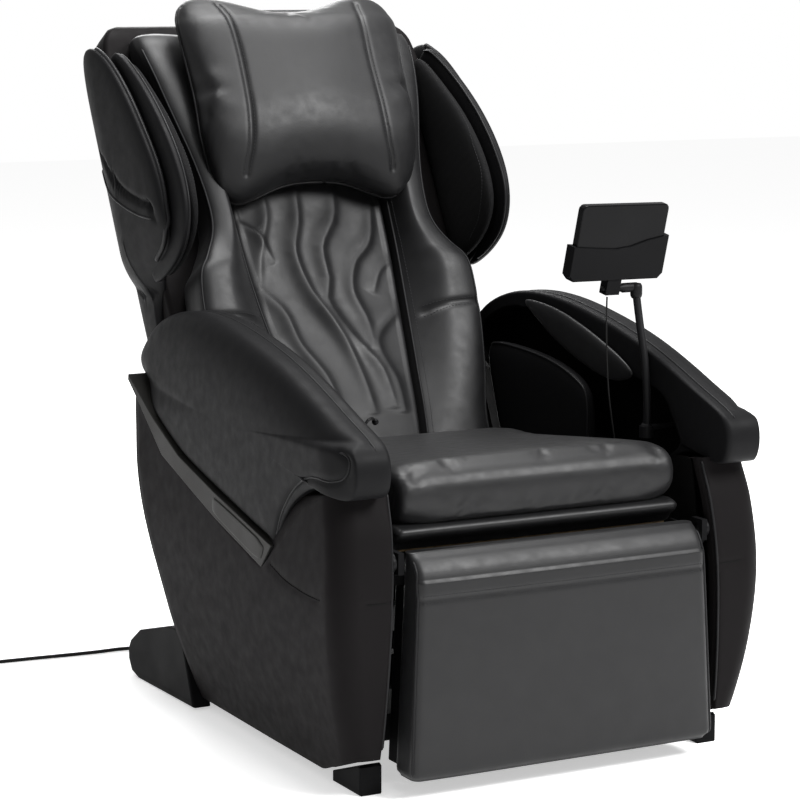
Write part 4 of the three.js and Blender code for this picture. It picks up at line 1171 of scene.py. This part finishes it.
def panel_plan(height, k):
    """Plan of a side panel at a height, for a place k along its outline from 0 to 9: front pillar, rounded
    corner, outside face, rear edge and inside face."""
    out, front, rear, edge = PANEL_OUT(height), PANEL_FRONT(height), PANEL_REAR(height), PANEL_EDGE(height)
    corner = np.minimum(42, out - edge - 14)
    bend = np.clip((k - 2) / 1.5, 0, 1) * math.pi / 2
    stops = [0, 1, 2, 3.5, 5.5, 6.5, 6.8, 7.2, 8.4, 9]
    xs = [edge, edge + 6, out - corner, out, out - 2, out - 6, out - 14, 340 + 0 * out, 340 + 0 * out, edge]
    ys = [front + 12, front, front, front + corner, (front + rear) / 2, rear - 8, rear, rear, front + 24,
          front + 24]
    x, y = np.zeros_like(out), np.zeros_like(out)
    for a in range(len(stops) - 1):
        here = (k >= stops[a]) & (k <= stops[a + 1])
        w = np.clip((k - stops[a]) / (stops[a + 1] - stops[a]), 0, 1)
        x = np.where(here, xs[a] + (xs[a + 1] - xs[a]) * w, x)
        y = np.where(here, ys[a] + (ys[a + 1] - ys[a]) * w, y)
    turning = (k >= 2) & (k <= 3.5)
    x = np.where(turning, out - corner + corner * np.sin(bend), x)
    y = np.where(turning, front + corner - corner * np.cos(bend), y)
    return x, y


class CHAIR_OT_panels(bpy.types.Operator):
    """Side panels that wrap round the front pillars, with their seams and piping"""
    bl_idname = "massage_chair.panels"
    bl_label = "Side panels"

    def execute(self, context):
        finish = build_finishes()
        chair = context.scene.massage_chair
        k = np.concatenate([np.linspace(0, 2, 14)[:-1], np.linspace(2, 3.5, 18)[:-1],
                            np.linspace(3.5, 6.5, 70)[:-1],
                            np.linspace(6.5, 7.2, 8)[:-1], np.linspace(7.2, 8.4, 40)[:-1],
                            np.linspace(8.4, 9, 8)])
        v = np.linspace(0, 1, 90)
        k, v = np.meshgrid(k, v)
        z = 30 + 400 * v
        for _ in range(12):
            x, y = panel_plan(z, k)
            low = np.interp(y, [-60, 0, 100, 116], [74, 62, 26, 22])
            high = np.interp(y, [-60, 20, 95, 150, 243, 424, 515, 652, 757, 850],
                             [494, 494, 458, 408, 331, 378, 407, 452, 534, 556])
            z = low + (high - low) * v
        for side, sign in SIDES:
            panel = skin(f"side_panel_vinyl_{side}", at_chair(sign * x, y, z), [finish["vinyl"]], sharp=52)
            settle(panel, "base", "vinyl", f"side_panel_{side}")
            line = through([(392, 214, 344), (392, 160, 330), (386, 90, 322), (370, 20, 321), (345, -30, 321),
                            (320, -40, 321), (306, -34, 321)], 110)
            seam = face_down(panel, at_chair(sign * line[:, 0], line[:, 1], line[:, 2]))[0]
            press(panel, [seam], 0.004, 0.0022)
            up = np.linspace(80, 488, 90)
            edge = at_chair(sign * (PANEL_EDGE(up) + 3), PANEL_FRONT(up) + 2, up)
            pipe(f"panel_piping_{side}", panel, [edge], "base", finish["piping"], chair.piping)
            pipe(f"panel_seam_{side}", panel, [seam], "base", finish["gap"], 0.0012, lift=-0.0004)
        return {"FINISHED"}


# ---------- leg rest ----------
class CHAIR_OT_leg_rest(bpy.types.Operator):
    """Padded front of the leg rest with its stitched seam and edge piping"""
    bl_idname = "massage_chair.leg_rest"
    bl_label = "Leg rest"

    def execute(self, context):
        finish = build_finishes()
        chair = context.scene.massage_chair
        up = np.concatenate([[31, 32, 35, 40], np.linspace(46, 360, 120), np.linspace(364, 391.5, 20)])
        pull = 8 * (1 - ease((up - 31) / 12))
        half = np.interp(up, [30, 323, 396], [284, 270, 267]) - pull
        front = graph([(31, -54), (44, -57), (323, -51), (346, -48), (366, -41), (382, -29),
                       (392, -16)])(up) + pull
        x, y = rounded_box(half, front, np.full(len(up), 7.0), 13, across=110, deep=8, corner=8)
        rows = up[:, None]
        face = ease((-6 - y) / 24)
        soft = 1 - (x / half[:, None]) ** 6
        y = y - face * (3.0 * soft + 1.2 * waves(x / 80, rows / 70, 41))
        pad = skin("leg_pad_leather", at_chair(x, y, rows), [finish["leather"]])
        across = np.linspace(-268, 268, 160)
        seam = face_down(pad, at_chair(across, -60, 323.0))[0]
        press(pad, [seam], 0.005, 0.0016)
        settle(pad, "leg_rest", "leather", "leg_pad", fill=0.7)
        shift = at_chair(0, 0, 5.5) - at_chair(0, 0, 0)
        sew("leg_pad_stitching", pad, [seam + shift, seam - shift], "leg_rest", finish["thread"])
        high = np.linspace(40, 380, 100)
        edges = [at_chair(sign * (np.interp(high, [30, 323, 396], [284, 270, 267]) - 3),
                          np.interp(high, [31, 323, 364, 392], [-56, -49, -42, -20]) + 4,
                          high) for sign in (1, -1)]
        pipe("leg_pad_piping", pad, edges, "leg_rest", finish["piping"], chair.piping)
        return {"FINISHED"}


# ---------- remote stand ----------
class CHAIR_OT_stand(bpy.types.Operator):
    """Bent tube of the remote's stand, with its ball foot and swivel head"""
    bl_idname = "massage_chair.stand"
    bl_label = "Remote stand"

    def execute(self, context):
        finish = build_finishes()
        path = through([(303, 185, 512), (303, 183, 545), (303, 187, 600), (303, 197, 650), (303, 211, 700),
                        (303, 224, 752)], 90)
        stem = rod(at_chair(*path.T), 0.0068, 20)
        t = np.linspace(0.06, math.pi - 0.06, 20)
        ball = rod(at_chair(303, 185, 517 - 11 * np.cos(t)), 0.011, 24, taper=np.sin(t))
        head = rod(at_chair(np.linspace(311, 234, 12), 225.0, 757.0), 0.0085, 20,
                   taper=[0.7, 1, 1, 1, 1, 1, 0.62, 0.6, 0.6, 0.6, 0.6, 0.5])
        collar = rod(at_chair(303, 222.5, np.linspace(738, 764, 8)), 0.0105, 20,
                     taper=[0.75, 0.95, 1, 1, 1, 1, 0.95, 0.75])
        stand = join_grids("stand_bent_tube", [stem, ball, head, collar], [finish["steel"]])
        settle(stand, "stand", "steel", "stand_tube")
        return {"FINISHED"}


# ---------- finishes of the frame's own pieces ----------
NODE_FINISH = {
    "base_frame": "steel", "back_frame": "steel", "recline_drive": "steel", "recline_rod": "steel",
    "leg_drive": "steel", "leg_rod": "steel", "roller_carriage": "steel", "kneading_arm": "steel",
    "stand_bracket": "steel", "front_foot": "plastic", "rear_skid": "plastic", "rear_cover": "plastic",
    "control_box": "plastic", "air_pump": "plastic", "power_switch": "gloss", "remote_control": "gloss",
    "remote_holder": "plastic", "arm_trim": "trim", "transport_wheel": "rubber", "roller_upper": "nylon",
    "roller_lower": "nylon", "seat_pan": "plywood", "leg_frame": "plastic", "arm_hook": "gloss"}


class CHAIR_OT_frame_finishes(bpy.types.Operator):
    """Finishes of the plastic, steel, rubber and wooden pieces that keep the frame's own shape"""
    bl_idname = "massage_chair.frame_finishes"
    bl_label = "Frame finishes"

    def execute(self, context):
        finish = build_finishes()
        for name, node in frame["nodes"].items():
            kind = NODE_FINISH.get(name) or NODE_FINISH.get(name.rsplit("_", 1)[0])
            if kind is None:
                kind = "leather"
            node.data.materials.clear()
            node.data.materials.append(finish[kind])
        return {"FINISHED"}


# ---------- add-on ----------
class MassageChairSettings(bpy.types.PropertyGroup):
    """Sizes and colours of the upholstery"""
    leather_color: bpy.props.FloatVectorProperty(
        name="Leather colour", description="Colour of the seat, back and pillow leather", subtype="COLOR",
        size=3, min=0, max=1, default=(0.0052, 0.0052, 0.0056))
    panel_color: bpy.props.FloatVectorProperty(
        name="Panel colour", description="Colour of the vinyl on the side panels and the back shell",
        subtype="COLOR", size=3, min=0, max=1, default=(0.0058, 0.0052, 0.0054))
    piping: bpy.props.FloatProperty(
        name="Piping radius", description="Radius of the piping along the seams", unit="LENGTH",
        default=0.0024, min=0.001, max=0.005)
    seat_crown: bpy.props.FloatProperty(
        name="Seat crown", description="Rise of the seat cushion between its sides", unit="LENGTH",
        default=0.005, min=0.0, max=0.012)
    fold_depth: bpy.props.FloatProperty(
        name="Fold depth", description="Height of the folds in the centre of the back", unit="LENGTH",
        default=0.009, min=0.0, max=0.02)


PIECES = (CHAIR_OT_stage, CHAIR_OT_cords, CHAIR_OT_frame_finishes, CHAIR_OT_seat, CHAIR_OT_back,
          CHAIR_OT_shell,
          CHAIR_OT_wings, CHAIR_OT_pillow, CHAIR_OT_arms, CHAIR_OT_panels, CHAIR_OT_leg_rest, CHAIR_OT_stand)


class CHAIR_PT_panel(bpy.types.Panel):
    """Lists the chair's pieces, in the order in which they are made"""
    bl_idname = "CHAIR_PT_panel"
    bl_label = "Massage chair"
    bl_space_type = "VIEW_3D"
    bl_region_type = "UI"
    bl_category = "Chair"

    def draw(self, context):
        column = self.layout.column()
        for name in MassageChairSettings.__annotations__:
            column.prop(context.scene.massage_chair, name)
        for piece in PIECES:
            column.operator(piece.bl_idname)


CLASSES = (MassageChairSettings, *PIECES, CHAIR_PT_panel)


def register():
    for cls in CLASSES:
        bpy.utils.register_class(cls)
    bpy.types.Scene.massage_chair = bpy.props.PointerProperty(type=MassageChairSettings)


def unregister():
    del bpy.types.Scene.massage_chair
    for cls in reversed(CLASSES):
        bpy.utils.unregister_class(cls)


def main():
    register()
    for piece in PIECES:
        group, name = piece.bl_idname.split(".")
        getattr(getattr(bpy.ops, group), name)()
    bpy.context.view_layer.update()


if __name__ == "__main__":
    main()
